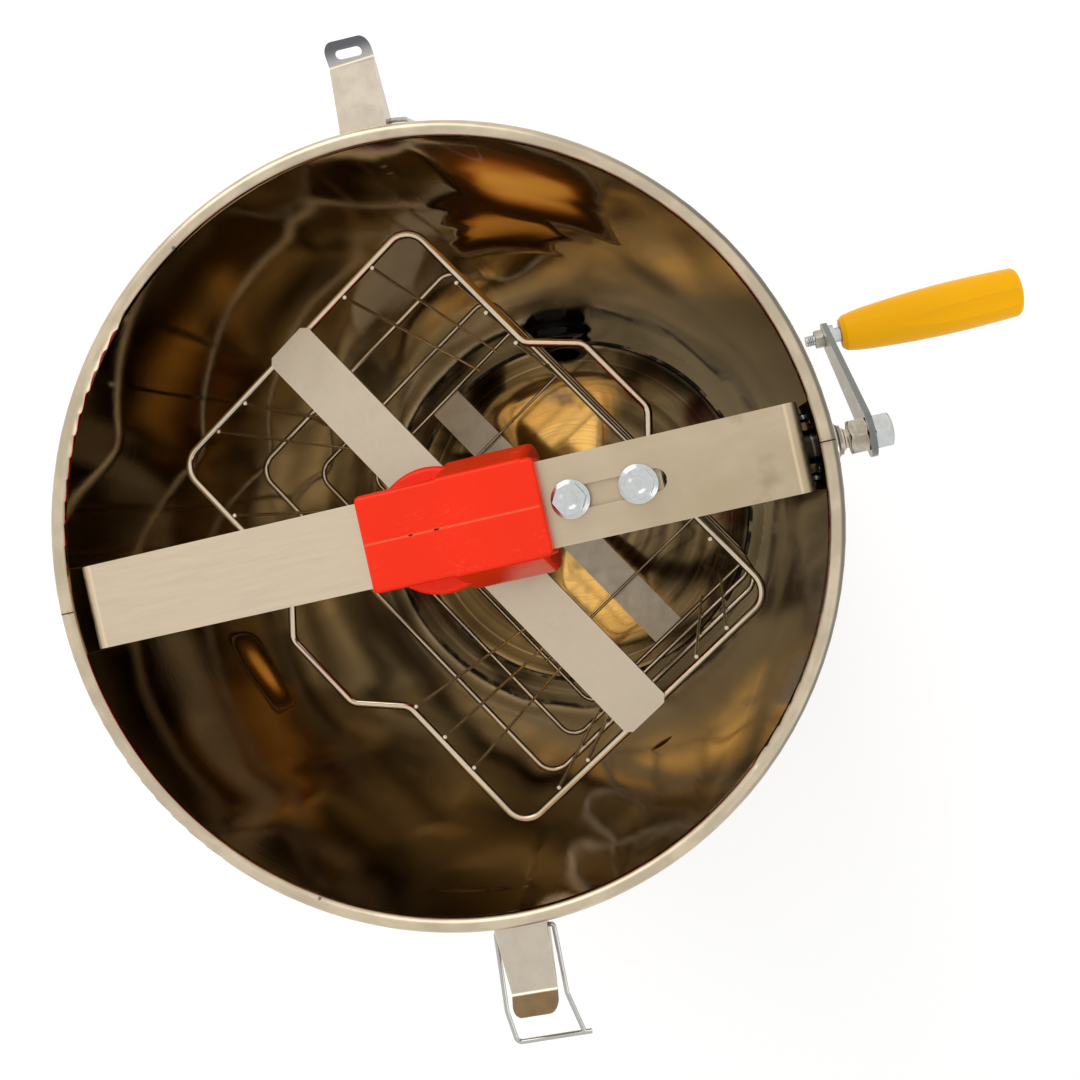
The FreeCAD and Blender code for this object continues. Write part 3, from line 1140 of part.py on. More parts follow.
def gate_pivot_bolt():
    """Pivot bolt with its nut behind the ear."""
    x = -GATE_EAR
    head = GATE_SEAT + 0.15 + 5 + 0.3
    bolt = rod(Vector(x, GATE_SEAT - 13, GATE_HEIGHT), Vector(x, head + 1, GATE_HEIGHT), M6)
    bolt = bolt.fuse(hexagon(10, Vector(x, head, GATE_HEIGHT), Vector(x, head + 4, GATE_HEIGHT)))
    nut_end = Vector(x, GATE_SEAT - 6 - SEAT, GATE_HEIGHT)
    nut = hexagon(10, nut_end - Y_AXIS * 5, nut_end).cut(rod(nut_end - Y_AXIS * 9, nut_end, M6 + RUNNING))
    return bolt, nut


def gate_clamp_stud():
    """Stud held in the other ear by its hexagon head."""
    x = GATE_EAR
    face = GATE_SEAT - 6 - SEAT
    stud = rod(Vector(x, face - 2, GATE_HEIGHT), Vector(x, GATE_SEAT + 18, GATE_HEIGHT), M6)
    return stud.fuse(hexagon(10, Vector(x, face - 4, GATE_HEIGHT), Vector(x, face, GATE_HEIGHT)))


def gate_wing_nut():
    """Wing nut on the stud: conical hub with two rounded wings."""
    x = GATE_EAR
    start = GATE_SEAT + 0.15 + 5 + 0.3
    hub_part = lathe_y([(start, 0), (start, 7.5), (start + 10, 5.6), (start + 10, 0)], x, GATE_HEIGHT)
    wings = []
    for side in (-1, 1):
        outline = [(3, 1.5), (6.5, 1.5), (13.5, 7.5), (16, 13), (13, 16.5), (9, 14.5), (3, 7)]
        points = [Vector(x + side * a, start + b, GATE_HEIGHT - 1.4) for a, b in outline]
        wings.append(Part.Face(Part.makePolygon(points + points[:1])).extrude(Vector(0, 0, 2.8)))
    nut = hub_part.multiFuse(wings).removeSplitter()
    return nut.cut(rod(Vector(x, start - 1, GATE_HEIGHT), Vector(x, start + 20, GATE_HEIGHT), M6 + RUNNING))


# ---------------------------------------------------------------- build
def build():
    save("drum_wall", drum_wall())
    save("drum_floor", drum_floor())
    save("foot_bearing", foot_bearing())
    save("foot_bearing_rivets", *foot_bearing_rivets())
    save("crossbar", crossbar())
    bolts, nuts = crossbar_bolts()
    save("crossbar_bolts", *bolts)
    save("crossbar_nuts", *nuts)
    save("top_bearing", top_bearing())
    save("bearing_rivets", *bearing_rivets())
    save("bearing_block", bearing_block())
    save("block_bolts", *block_bolts())
    save("wall_bearing_plate", wall_bearing_plate())
    save("wall_bush", wall_bush())
    save("plate_rivets", *[dome_rivet(RIVET, RIVET_HEAD, start, end) for start, end in plate_rivet_lines()])
    left, right = gear_cover()
    save("gear_cover_left", left)
    save("gear_cover_right", right)
    save("cover_screws", *cover_screws())

    save("cage_shaft", cage_place(cage_shaft()))
    save("top_strip", cage_place(cage_strip(STRIP_TOP, TOP_ROD)))
    save("bottom_strip", cage_place(cage_strip(STRIP_LOW, HOOP_ROD)))
    save("top_hub", cage_place(hub(STRIP_TOP - STRIP_SHEET - SEAT)))
    save("bottom_hub", cage_place(hub(STRIP_LOW - STRIP_SHEET - SEAT)))
    save("hub_pins", *[cage_place(cross_pin(z, HUB_RADIUS + 1)) for z in HUB_PIN_Z])
    save("top_hoop", cage_place(top_hoop()))
    save("upper_hoop", cage_place(hoop(RIM - HOOP_DROPS[0], HOOP_ROD)))
    save("lower_hoop", cage_place(hoop(RIM - HOOP_DROPS[1], HOOP_ROD)))
    save("bottom_hoop", cage_place(hoop(BOTTOM_HOOP_Z, HOOP_ROD)))
    sides, ends = upright_wires()
    save("side_wires", *[cage_place(wire) for wire in sides])
    save("end_wires", *[cage_place(wire) for wire in ends])
    save("base_wires", *[cage_place(wire) for wire in base_wires()])
    save("cage_gear", cage_gear())
    save("cage_gear_pin", cage_place(cross_pin(CAGE_PIN_Z, 12)))

    save("drive_shaft", drive_shaft())
    save("drive_gear", drive_gear())
    pin_low = Vector(WHEEL_PIN_X, 0, DRIVE_Z - 12)
    save("drive_gear_pin", rod(pin_low, pin_low + Z_AXIS * 24, PIN))
    save("drive_collar", drive_collar())
    save("crank_locknut", crank_locknut())
    save("crank_arm", crank_arm())
    save("crank_cap_nut", crank_cap_nut())
    bolt, nut, collar = grip_hardware()
    save("grip_bolt", bolt)
    save("grip_nut", nut)
    save("grip_collar", collar)
    save("crank_grip", crank_grip())

    rivets = []
    pins = []
    for name, angle in (("front", LATCH_FRONT), ("back", LATCH_BACK)):
        save("latch_base_" + name, turned(latch_base(), angle - 90))
        save("latch_lever_" + name, turned(latch_lever(LEVER_FLARE[name], name == "back"), angle - 90))
        save("latch_bail_" + name, turned(latch_bail(*bail_legs(name), BAIL_ANGLE[name]), angle - 90))
        rivets += [turned(rivet, angle - 90) for rivet in latch_rivets()]
        pins.append(turned(latch_pin(), angle - 90))
    save("latch_rivets", *rivets)
    save("latch_pins", *pins)

    save("gate_body", gate_place(gate_body()))
    save("gate_nut", gate_place(gate_nut()))
    save("gate_gaskets", *[gate_place(ring) for ring in gate_gaskets()])
    save("gate_flap", gate_place(gate_flap()))
    save("gate_pivot_bolt", *[gate_place(piece) for piece in gate_pivot_bolt()])
    save("gate_clamp_stud", gate_place(gate_clamp_stud()))
    save("gate_wing_nut", gate_place(gate_wing_nut()))


build()
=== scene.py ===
"""Finishes, fine detail and a studio stage for a tangential honey extractor."""

import math

import bmesh
import bpy
from mathutils import Euler, Matrix, Vector


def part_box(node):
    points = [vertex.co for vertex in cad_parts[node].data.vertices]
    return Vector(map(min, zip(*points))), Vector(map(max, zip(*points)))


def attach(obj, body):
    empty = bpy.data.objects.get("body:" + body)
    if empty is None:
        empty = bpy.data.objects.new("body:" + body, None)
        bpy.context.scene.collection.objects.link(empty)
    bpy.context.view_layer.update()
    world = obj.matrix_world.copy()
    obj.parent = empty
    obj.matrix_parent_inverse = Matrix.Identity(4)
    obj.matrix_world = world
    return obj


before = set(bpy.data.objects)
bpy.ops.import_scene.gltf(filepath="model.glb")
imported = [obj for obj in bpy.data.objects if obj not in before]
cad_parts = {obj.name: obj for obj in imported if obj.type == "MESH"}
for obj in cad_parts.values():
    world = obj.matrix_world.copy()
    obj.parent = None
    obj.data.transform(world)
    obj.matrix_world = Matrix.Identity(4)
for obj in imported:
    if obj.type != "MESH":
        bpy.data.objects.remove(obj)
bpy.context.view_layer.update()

bl_info = {
    "name": "Honey Extractor",
    "version": (1, 0, 0),
    "blender": (4, 5, 0),
    "location": "3D View > Sidebar > Extractor",
    "description": "Finishes a tangential honey extractor and sets it on a studio floor",
    "category": "Object",
}


# ---------------------------------------------------------------- places read from the model
def middle(node):
    """Centre of a node's box at rest."""
    low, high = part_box(node)
    return (Vector(low) + Vector(high)) / 2


RIM_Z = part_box("drum_wall")[1][2]
RIM_FOOT, RIM_FULL = RIM_Z - 0.0096, RIM_Z - 0.0088      # where the rolled rim's finish fades in
COVER_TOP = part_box("gear_cover_right")[1][2]
BORE = 0.2              # radius of the drum's inside
SHEET = 0.001           # thickness of its sheet
FLOOR_SLOPE = 0.132     # fall of the floor's cone; the fans are beaten level again
BAR_END = 0.0111        # from the bar's end face back to where it starts to turn down
BAR_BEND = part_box("crossbar")[1][0] - BAR_END
LEVER_TAB = 0.0093      # length of a lever's finger tab beyond its fold
LEVER_FOLD = -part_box("latch_lever_front")[0][1] - LEVER_TAB
# Patches on the wall that get a painted golden highlight: angle and half width in degrees, height and half
# height in metres, and how far the outline wanders.
GLINT_PATCHES = ((65, 9, 0.61, 0.08, 0.55), (77, 6, 0.51, 0.08, 0.55), (-160, 6, 0.51, 0.02, 0.15),
           (-79, 4, 0.45, 0.03, 1.0), (-100, 4, 0.65, 0.02, 1.0))
DISH_FALL = 1.9         # how steeply the sheet leans back in those patches, so that they catch the light
LEAN_SHARE = 0.95       # share of a lean that the shading takes, on the wall and on the floor
SWAY_ROUND, SWAY_UP = 0.04, 0.14      # how far the patches' outlines wander round and up the wall
CAGE_TURN = math.radians(-58)
CAGE_LONG = Vector((math.cos(CAGE_TURN), math.sin(CAGE_TURN), 0))
CAGE_WIDE = Vector((-math.sin(CAGE_TURN), math.cos(CAGE_TURN), 0))

# shades that a single effect uses
RIM_SHADE = (0.10, 0.095, 0.08)
RIM_MARK = (0.05, 0.04, 0.035)
RIM_JOINT = (0.03, 0.025, 0.02)
CHANNEL_DIRT = (0.012, 0.009, 0.006)
WELD_FILM = (0.12, 0.07, 0.03)
BAR_BROWN = (0.44, 0.35, 0.225)
BAR_SMOKE = (0.20, 0.14, 0.08)
BEND_HIGHLIGHT = (0.9, 0.70, 0.46)
GAP_SHADE = (0.016, 0.013, 0.010)
BACK_TAB_LIT = (0.46, 0.45, 0.44)
BACK_TAB_SHADED = (0.13, 0.13, 0.14)
FRONT_TAB_SHADE = (0.10, 0.066, 0.033)
FOLD_HIGHLIGHT = (1.0, 0.93, 0.74)
ARM_EDGE_SHADE = (0.15, 0.155, 0.14)
ZINC_FILM = (0.42, 0.36, 0.20)
AGED_FILM = (0.20, 0.12, 0.05)
BRASS_FILM = (0.25, 0.14, 0.05)
BUSH_FILM = (0.10, 0.06, 0.03)
GEAR_OIL = (0.08, 0.05, 0.02)
ARM_FILM = (0.12, 0.10, 0.07)
COVER_RUB = (1.0, 0.14, 0.06)
PARTING_HIGHLIGHT = (1.0, 0.2, 0.09)
GRIP_RUB = (1.0, 0.55, 0.03)
GATE_RUB = (0.08, 0.08, 0.08)
RUBBER = (0.03, 0.03, 0.03)
RUBBER_RUB = (0.09, 0.09, 0.09)


# ---------------------------------------------------------------- settings
def colour_setting(name, description, default):
    return bpy.props.FloatVectorProperty(name=name, description=description, subtype="COLOR", size=3, min=0,
                                         max=1, default=default)


def length_setting(name, description, default):
    return bpy.props.FloatProperty(name=name, description=description, subtype="DISTANCE", unit="LENGTH",
                                   default=default)


class ExtractorColours(bpy.types.PropertyGroup):
    """Colours of the finishes."""
    drum: colour_setting("Drum outside", "Brushed stainless sheet outside the drum", (0.56, 0.49, 0.39))
    # painted light and shade: the inside is a darker, browner copy of the sheet, for the dim warm light in the
    # drum
    bore: colour_setting("Drum inside", "Mirror-bright sheet inside, under a thin honey film",
                         (0.40, 0.305, 0.17))
    # painted reflection: dark streaks for the dark surroundings mirrored in the sheet
    dark_reflection: colour_setting("Dark streaks", "Darkest streaks of the sheet inside", (0.17, 0.125, 0.065))
    # painted sheen on the inside wall
    sheen: colour_setting("Thin varnish", "Broad glow of thin honey varnish", (0.62, 0.44, 0.21))
    # painted highlight on the floor
    fan_highlight: colour_setting("Floor fans", "Golden fans of dried honey on the floor", (0.98, 0.56, 0.15))
    # painted highlight on the wall
    wall_highlight: colour_setting("Honey varnish", "Amber patches of dried honey on the wall", (0.58, 0.25, 0.035))
    rim: colour_setting("Rim", "Rolled rim", (0.56, 0.465, 0.335))
    bar: colour_setting("Crossbar", "Satin stainless flat bar", (0.62, 0.51, 0.375))
    cage: colour_setting("Cage strips", "Satin stainless strips and shafts", (0.58, 0.485, 0.365))
    wire: colour_setting("Wire", "Bright drawn wire of hoops and uprights", (0.62, 0.52, 0.39))
    bail: colour_setting("Bails", "Spring wire of the bails", (0.45, 0.44, 0.41))
    zinc: colour_setting("Zinc", "Bright zinc plating on bolts and nuts", (0.56, 0.58, 0.57))
    aged: colour_setting("Aged zinc", "Weathered zinc of the locknuts", (0.50, 0.47, 0.40))
    pressed: colour_setting("Pressed steel", "Pressed stainless of latches and plates", (0.55, 0.48, 0.385))
    brass: colour_setting("Brass", "Turned bushes", (0.72, 0.48, 0.20))
    gear: colour_setting("Gears", "Machined, oiled gear steel", (0.36, 0.36, 0.36))
    arm: colour_setting("Crank arm", "Plated flat steel", (0.52, 0.52, 0.50))
    cover: colour_setting("Gear cover", "Moulded red plastic", (1.0, 0.028, 0.003))
    grip: colour_setting("Grip", "Moulded orange plastic", (0.97, 0.46, 0.001))
    gate: colour_setting("Honey gate", "Black moulded plastic", (0.018, 0.018, 0.019))
    rust: colour_setting("Rust", "Small rust specks on the rim", (0.30, 0.08, 0.015))
    grime: colour_setting("Grime", "Thin brown film in corners and on sheet", (0.16, 0.10, 0.05))


class ExtractorSizes(bpy.types.PropertyGroup):
    """Sizes of the fine detail."""
    weld: length_setting("Spot weld", "Radius of a spot weld on the cage", 0.0010)
    seam_width: length_setting("Seam width", "Width of the drum's welded seams", 0.0024)
    seam_height: length_setting("Seam height", "How far a seam stands off the sheet", 0.0003)
    ripple: length_setting("Seam ripple", "Pitch of the ripples along a weld seam", 0.0016)
    thread: length_setting("Thread height", "How far the threads stand off their shanks", 0.0002)


class StageSettings(bpy.types.PropertyGroup):
    """Camera, floor and lamps."""
    eye: bpy.props.FloatVectorProperty(name="Camera place", description="Camera from the middle of the rim",
                                       subtype="TRANSLATION", unit="LENGTH", size=3,
                                       default=(0.1435, -0.0135, 0.5796))
    turn: bpy.props.FloatVectorProperty(name="Camera turn", description="Camera's turn about X, Y and Z",
                                        subtype="EULER", unit="ROTATION", size=3,
                                        default=tuple(math.radians(a) for a in (-2.182, 8.325, -12.730)))
    lens: bpy.props.FloatProperty(name="Lens", description="Focal length in millimetres on a 36 mm sensor",
                                  default=38.84)
    floor: colour_setting("Floor", "Pale studio floor", (0.86, 0.86, 0.86))
    key: bpy.props.FloatProperty(name="Key lamp", description="Power of the large soft lamp", unit="POWER",
                                 default=16.0)
    fill: bpy.props.FloatProperty(name="Fill lamp", description="Power of the side lamp", unit="POWER",
                                  default=6.0)
    glow: bpy.props.FloatProperty(name="Floor glow", description="Light that the seen floor gives off, so that "
                                  "it meets the white room", default=0.25)
    room: bpy.props.FloatProperty(name="Room light", description="Strength of the room on dull surfaces",
                                  default=0.84)


# ---------------------------------------------------------------- node helpers
class Graph:
    """Adds nodes to a tree; an input is a value or the socket that feeds it."""

    def __init__(self, tree):
        self.tree = tree

    def add(self, kind, inputs=None, **settings):
        node = self.tree.nodes.new(kind)
        for name, value in settings.items():
            setattr(node, name, value)
        for key, value in (inputs or {}).items():
            self.put(node.inputs[key], value)
        return node

    def put(self, socket, value):
        """Link a socket or set its value; a colour gets its alpha here."""
        if isinstance(value, bpy.types.NodeSocket):
            self.tree.links.new(value, socket)
        elif socket.type == "RGBA" and hasattr(value, "__len__"):
            socket.default_value = (*value[:3], 1)
        else:
            socket.default_value = value

    def maths(self, operation, *values):
        """Result of one sum, product or other operation."""
        return self.add("ShaderNodeMath", dict(enumerate(values)), operation=operation).outputs[0]

    def blend(self, factor, first, second, mode="MIX"):
        """Colour mix; the mix node's colours are its inputs 6 and 7."""
        node = self.add("ShaderNodeMix", {0: factor, 6: first, 7: second}, data_type="RGBA", blend_type=mode)
        return node.outputs[2]

    def ramp(self, value, low, high, to_low=0.0, to_high=1.0):
        """Smooth step of a value from one range to another."""
        node = self.add("ShaderNodeMapRange", {"Value": value, "From Min": low, "From Max": high,
                                               "To Min": to_low, "To Max": to_high},
                        interpolation_type="SMOOTHSTEP")
        return node.outputs["Result"]

    def noise(self, vector, scale, detail=3.0, roughness=0.5, swirl=0.0):
        """Cloudy value between 0 and 1."""
        node = self.add("ShaderNodeTexNoise", {"Vector": vector, "Scale": scale, "Detail": detail,
                                               "Roughness": roughness, "Distortion": swirl})
        return node.outputs["Fac"]

    def band(self, value, centre, half, soft):
        """1 within half of the centre, fading out over soft."""
        return self.ramp(self.maths("ABSOLUTE", self.maths("SUBTRACT", value, centre)), half + soft, half)

    def axes(self, vector):
        """X, Y and Z of a vector."""
        return self.add("ShaderNodeSeparateXYZ", {0: vector}).outputs

    def drum_place(self, place):
        """Distance from the drum's axis, then X, Y and height."""
        x, y, z = self.axes(place)
        squares = self.maths("ADD", self.maths("MULTIPLY", x, x), self.maths("MULTIPLY", y, y))
        return self.maths("SQRT", squares), x, y, z

    def scaled(self, vector, scale):
        node = self.add("ShaderNodeVectorMath", {0: vector, 1: scale}, operation="MULTIPLY")
        return node.outputs[0]


def new_group(name, inputs, outputs):
    """Empty shader group; gives its graph, its inputs' sockets and its only output's socket."""
    group = bpy.data.node_groups.new(name, "ShaderNodeTree")
    kinds = {"float": "NodeSocketFloat", "vector": "NodeSocketVector", "colour": "NodeSocketColor"}
    for label, kind, default in inputs:
        socket = group.interface.new_socket(label, in_out="INPUT", socket_type=kinds[kind])
        if default is not None:
            socket.default_value = default
    for label, kind in outputs:
        group.interface.new_socket(label, in_out="OUTPUT", socket_type=kinds[kind])
    graph = Graph(group)
    return graph, graph.add("NodeGroupInput").outputs, graph.add("NodeGroupOutput").inputs[0]


def build_groups():
    """The effects that several finishes share."""
    g, given, out = new_group("Brushed grain", [("Position", "vector", None), ("Stretch", "vector", (1, 1, 1)),
                                                ("Scale", "float", 60.0)], [("Grain", "float")])
    stretched = g.scaled(given["Position"], given["Stretch"])
    g.put(out, g.noise(stretched, given["Scale"], detail=6.0, roughness=0.7))

    g, given, out = new_group("Film", [("Position", "vector", None), ("Scale", "float", 14.0),
                                       ("Cover", "float", 0.5)], [("Mask", "float")])
    broad = g.noise(given["Position"], given["Scale"], detail=5.0, roughness=0.62)
    edge = g.maths("SUBTRACT", 1.0, given["Cover"])
    g.put(out, g.ramp(broad, g.maths("SUBTRACT", edge, 0.12), g.maths("ADD", edge, 0.16)))

    g, given, out = new_group("Specks", [("Position", "vector", None), ("Scale", "float", 120.0),
                                         ("Size", "float", 0.1), ("Share", "float", 0.3)], [("Mask", "float")])
    cells = g.add("ShaderNodeTexVoronoi", {"Vector": given["Position"], "Scale": given["Scale"]}).outputs
    dot = g.maths("LESS_THAN", cells["Distance"], given["Size"])
    pick = g.add("ShaderNodeSeparateColor", {0: cells["Color"]}).outputs[0]
    g.put(out, g.maths("MULTIPLY", dot, g.maths("LESS_THAN", pick, given["Share"])))

    # painted reflections of the wires: thin wandering lines
    g, given, out = new_group("Wire reflections", [("Position", "vector", None), ("Scale", "float", 8.0),
                                             ("Width", "float", 0.01)], [("Mask", "float")])
    field = g.noise(given["Position"], given["Scale"], detail=1.0, roughness=0.4, swirl=1.6)
    line = g.ramp(g.maths("ABSOLUTE", g.maths("SUBTRACT", field, 0.5)), given["Width"], 0.0)
    where = g.noise(given["Position"], 5.0, detail=1.0)
    g.put(out, g.maths("MULTIPLY", line, g.ramp(where, 0.5, 0.62)))

    g, given, out = new_group("Edge wear", [("Width", "float", 0.0012), ("Position", "vector", None)],
                              [("Mask", "float")])
    rounded = g.add("ShaderNodeBevel", {"Radius": given["Width"]}, samples=4).outputs[0]
    flat = g.add("ShaderNodeNewGeometry").outputs["Normal"]
    cosine = g.add("ShaderNodeVectorMath", {0: rounded, 1: flat}, operation="DOT_PRODUCT").outputs["Value"]
    rub = g.ramp(g.noise(given["Position"], 180.0, detail=4.0), 0.35, 0.6)
    g.put(out, g.maths("MULTIPLY", g.ramp(cosine, 0.985, 0.9), rub))

    g, given, out = new_group("Scratches", [("Position", "vector", None), ("Stretch", "vector", (1, 1, 1)),
                                            ("Scale", "float", 200.0)], [("Mask", "float")])
    lines = g.noise(g.scaled(given["Position"], given["Stretch"]), given["Scale"], detail=2.0, roughness=0.5)
    thin = g.ramp(g.maths("ABSOLUTE", g.maths("SUBTRACT", lines, 0.5)), 0.012, 0.0)
    patch = g.ramp(g.noise(given["Position"], 35.0, detail=3.0), 0.48, 0.6)
    g.put(out, g.maths("MULTIPLY", thin, patch))


def use_group(graph, name, **inputs):
    """Add a shared effect; gives its output."""
    return graph.add("ShaderNodeGroup", inputs, node_tree=bpy.data.node_groups[name]).outputs[0]


def new_material(name):
    """Material with an empty Principled shader; gives the material, its graph and the shader."""
    material = bpy.data.materials.new(name)
    material.use_nodes = True
    material.node_tree.nodes.clear()
    graph = Graph(material.node_tree)
    shader = graph.add("ShaderNodeBsdfPrincipled")
    output = graph.add("ShaderNodeOutputMaterial")
    material.node_tree.links.new(shader.outputs[0], output.inputs["Surface"])
    return material, graph, shader


def feed(graph, shader, **inputs):
    """Set or link inputs of the shader by name, with _ for each space."""
    for label, value in inputs.items():
        graph.put(shader.inputs[label.replace("_", " ")], value)


def bump(graph, height, distance, strength=1.0, normal=None):
    """Normal raised by a height, on top of another normal if one is given."""
    inputs = {"Height": height, "Distance": distance, "Strength": strength}
    if normal is not None:
        inputs["Normal"] = normal
    return graph.add("ShaderNodeBump", inputs).outputs[0]


def toned(colour, factor):
    """Lighter or darker colour."""
    return tuple(min(1.0, c * factor) for c in colour)


def dress(material, *nodes):
    """Give a finish to model nodes."""
    for name in nodes:
        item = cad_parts[name]
        item.data.materials.clear()
        item.data.materials.append(material)


def metal(name, colour, roughness, stretch, scale, film_colour, film_cover=0.35, grain_depth=0.00003,
          tone=0.16, film_scale=22.0, film_share=0.22, wear=0.35, facet_shade=0.0, stain_and_light=None):
    """Brushed metal: stretched grain in tone, roughness and height, an uneven film, scratches, bright edges.

    Flats that don't face up can be darkened with painted shade; the last argument is a function that changes
    the colour by place, with stains and with painted shade and highlights.
    """
    material, g, shader = new_material(name)
    place = g.add("ShaderNodeTexCoord").outputs["Object"]
    grain = use_group(g, "Brushed grain", Position=place, Stretch=stretch, Scale=scale)
    film = use_group(g, "Film", Position=place, Scale=film_scale, Cover=film_cover)
    lines = use_group(g, "Scratches", Position=place, Stretch=tuple(v * v for v in stretch))
    edge = use_group(g, "Edge wear", Position=place)
    base = g.blend(g.ramp(grain, 0.3, 0.7), toned(colour, 1 - tone), toned(colour, 1 + tone))
    base = g.blend(g.maths("MULTIPLY", film, film_share), base, film_colour)
    base = g.blend(g.maths("MULTIPLY", lines, 0.12), base, toned(colour, 0.6))
    base = g.blend(g.maths("MULTIPLY", edge, wear), base, toned(colour, 1.5))
    # painted shade: flats that don't face up darkened
    if facet_shade:
        normal = g.add("ShaderNodeTexCoord").outputs["Normal"]
        upward = g.axes(normal)[2]
        base = g.blend(g.ramp(upward, 0.96, 0.2, 0.0, facet_shade), base, toned(colour, 0.3))
    # stains and painted shade and highlights, by place
    if stain_and_light is not None:
        base = stain_and_light(g, place, base)
    rough = g.maths("ADD", g.ramp(grain, 0.25, 0.75, roughness * 0.82, roughness * 1.18),
                    g.maths("MULTIPLY", film, 0.06))
    rough = g.maths("SUBTRACT", rough, g.maths("MULTIPLY", edge, 0.08))
    feed(g, shader, Base_Color=base, Metallic=1.0, Roughness=rough, Normal=bump(g, grain, grain_depth))
    return material


# ---------------------------------------------------------------- mesh helpers
def new_piece(name, shape, body, material):
    """Turn a built shape into an object that rides on a body and has the given finish."""
    mesh = bpy.data.meshes.new(name)
    shape.to_mesh(mesh)
    shape.free()
    piece = bpy.data.objects.new(name, mesh)
    bpy.context.scene.collection.objects.link(piece)
    piece.data.materials.append(material)
    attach(piece, body)
    return piece


def solid_middles(node):
    """Centres of the boxes of a node's separate solids, sorted, so that each run gives the same order."""
    mesh = bmesh.new()
    mesh.from_mesh(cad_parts[node].data)
    bmesh.ops.remove_doubles(mesh, verts=mesh.verts, dist=1e-6)
    left = set(mesh.verts)
    centres = []
    while left:
        front = [left.pop()]
        island = list(front)
        while front:
            vert = front.pop()
            for edge in vert.link_edges:
                other = edge.other_vert(vert)
                if other in left:
                    left.remove(other)
                    island.append(other)
                    front.append(other)
        low = Vector([min(v.co[k] for v in island) for k in range(3)])
        high = Vector([max(v.co[k] for v in island) for k in range(3)])
        centres.append((low + high) / 2)
    mesh.free()
    return sorted(centres, key=tuple)


def thread_ridge(start, end, shank, pitch, height):
    """Helical ridge of triangular section round a shank."""
    mesh = bmesh.new()
    along = (end - start).normalized()
    side = along.orthogonal().normalized()
    other = along.cross(side)
    sink, crest = 0.00006, 0.00001      # how deep the ridge's foot lies in the shank, and its least height
    turn_steps, fade_steps = 24, 6
    foot = along * pitch * 0.4
    run = (end - start).length - pitch
    steps = max(8, int(turn_steps * run / pitch))
    rings = []
    for i in range(steps + 1):
        turn = 2 * math.pi * i / turn_steps
        out = side * math.cos(turn) + other * math.sin(turn)
        base = start + along * (pitch / 2 + run * i / steps)
        fade = min(1.0, i / fade_steps, (steps - i) / fade_steps)
        rings.append([mesh.verts.new(base - foot + out * (shank - sink)),
                      mesh.verts.new(base + out * (shank - sink + (height + sink) * fade + crest)),
                      mesh.verts.new(base + foot + out * (shank - sink))])
    for ring, following in zip(rings, rings[1:]):
        for k in range(3):
            face = mesh.faces.new((ring[k], ring[(k + 1) % 3], following[(k + 1) % 3], following[k]))
            face.smooth = False
    mesh.faces.new(rings[0])
    mesh.faces.new(rings[-1][::-1])
    bmesh.ops.recalc_face_normals(mesh, faces=mesh.faces)
    return mesh


# ---------------------------------------------------------------- pieces and their operators
def wall_patch(g, spot, angle, spread, level, reach):
    """Soft patch on the drum's wall about an angle in degrees and a height."""
    x, y, z, radius = spot
    turn = math.radians(angle)
    along = g.maths("ADD", g.maths("MULTIPLY", x, math.cos(turn)), g.maths("MULTIPLY", y, math.sin(turn)))
    around = g.ramp(g.maths("DIVIDE", along, radius), math.cos(math.radians(spread * 1.7)), 1.0)
    return g.maths("MULTIPLY", around, g.band(z, level, reach * 0.1, reach * 1.2))


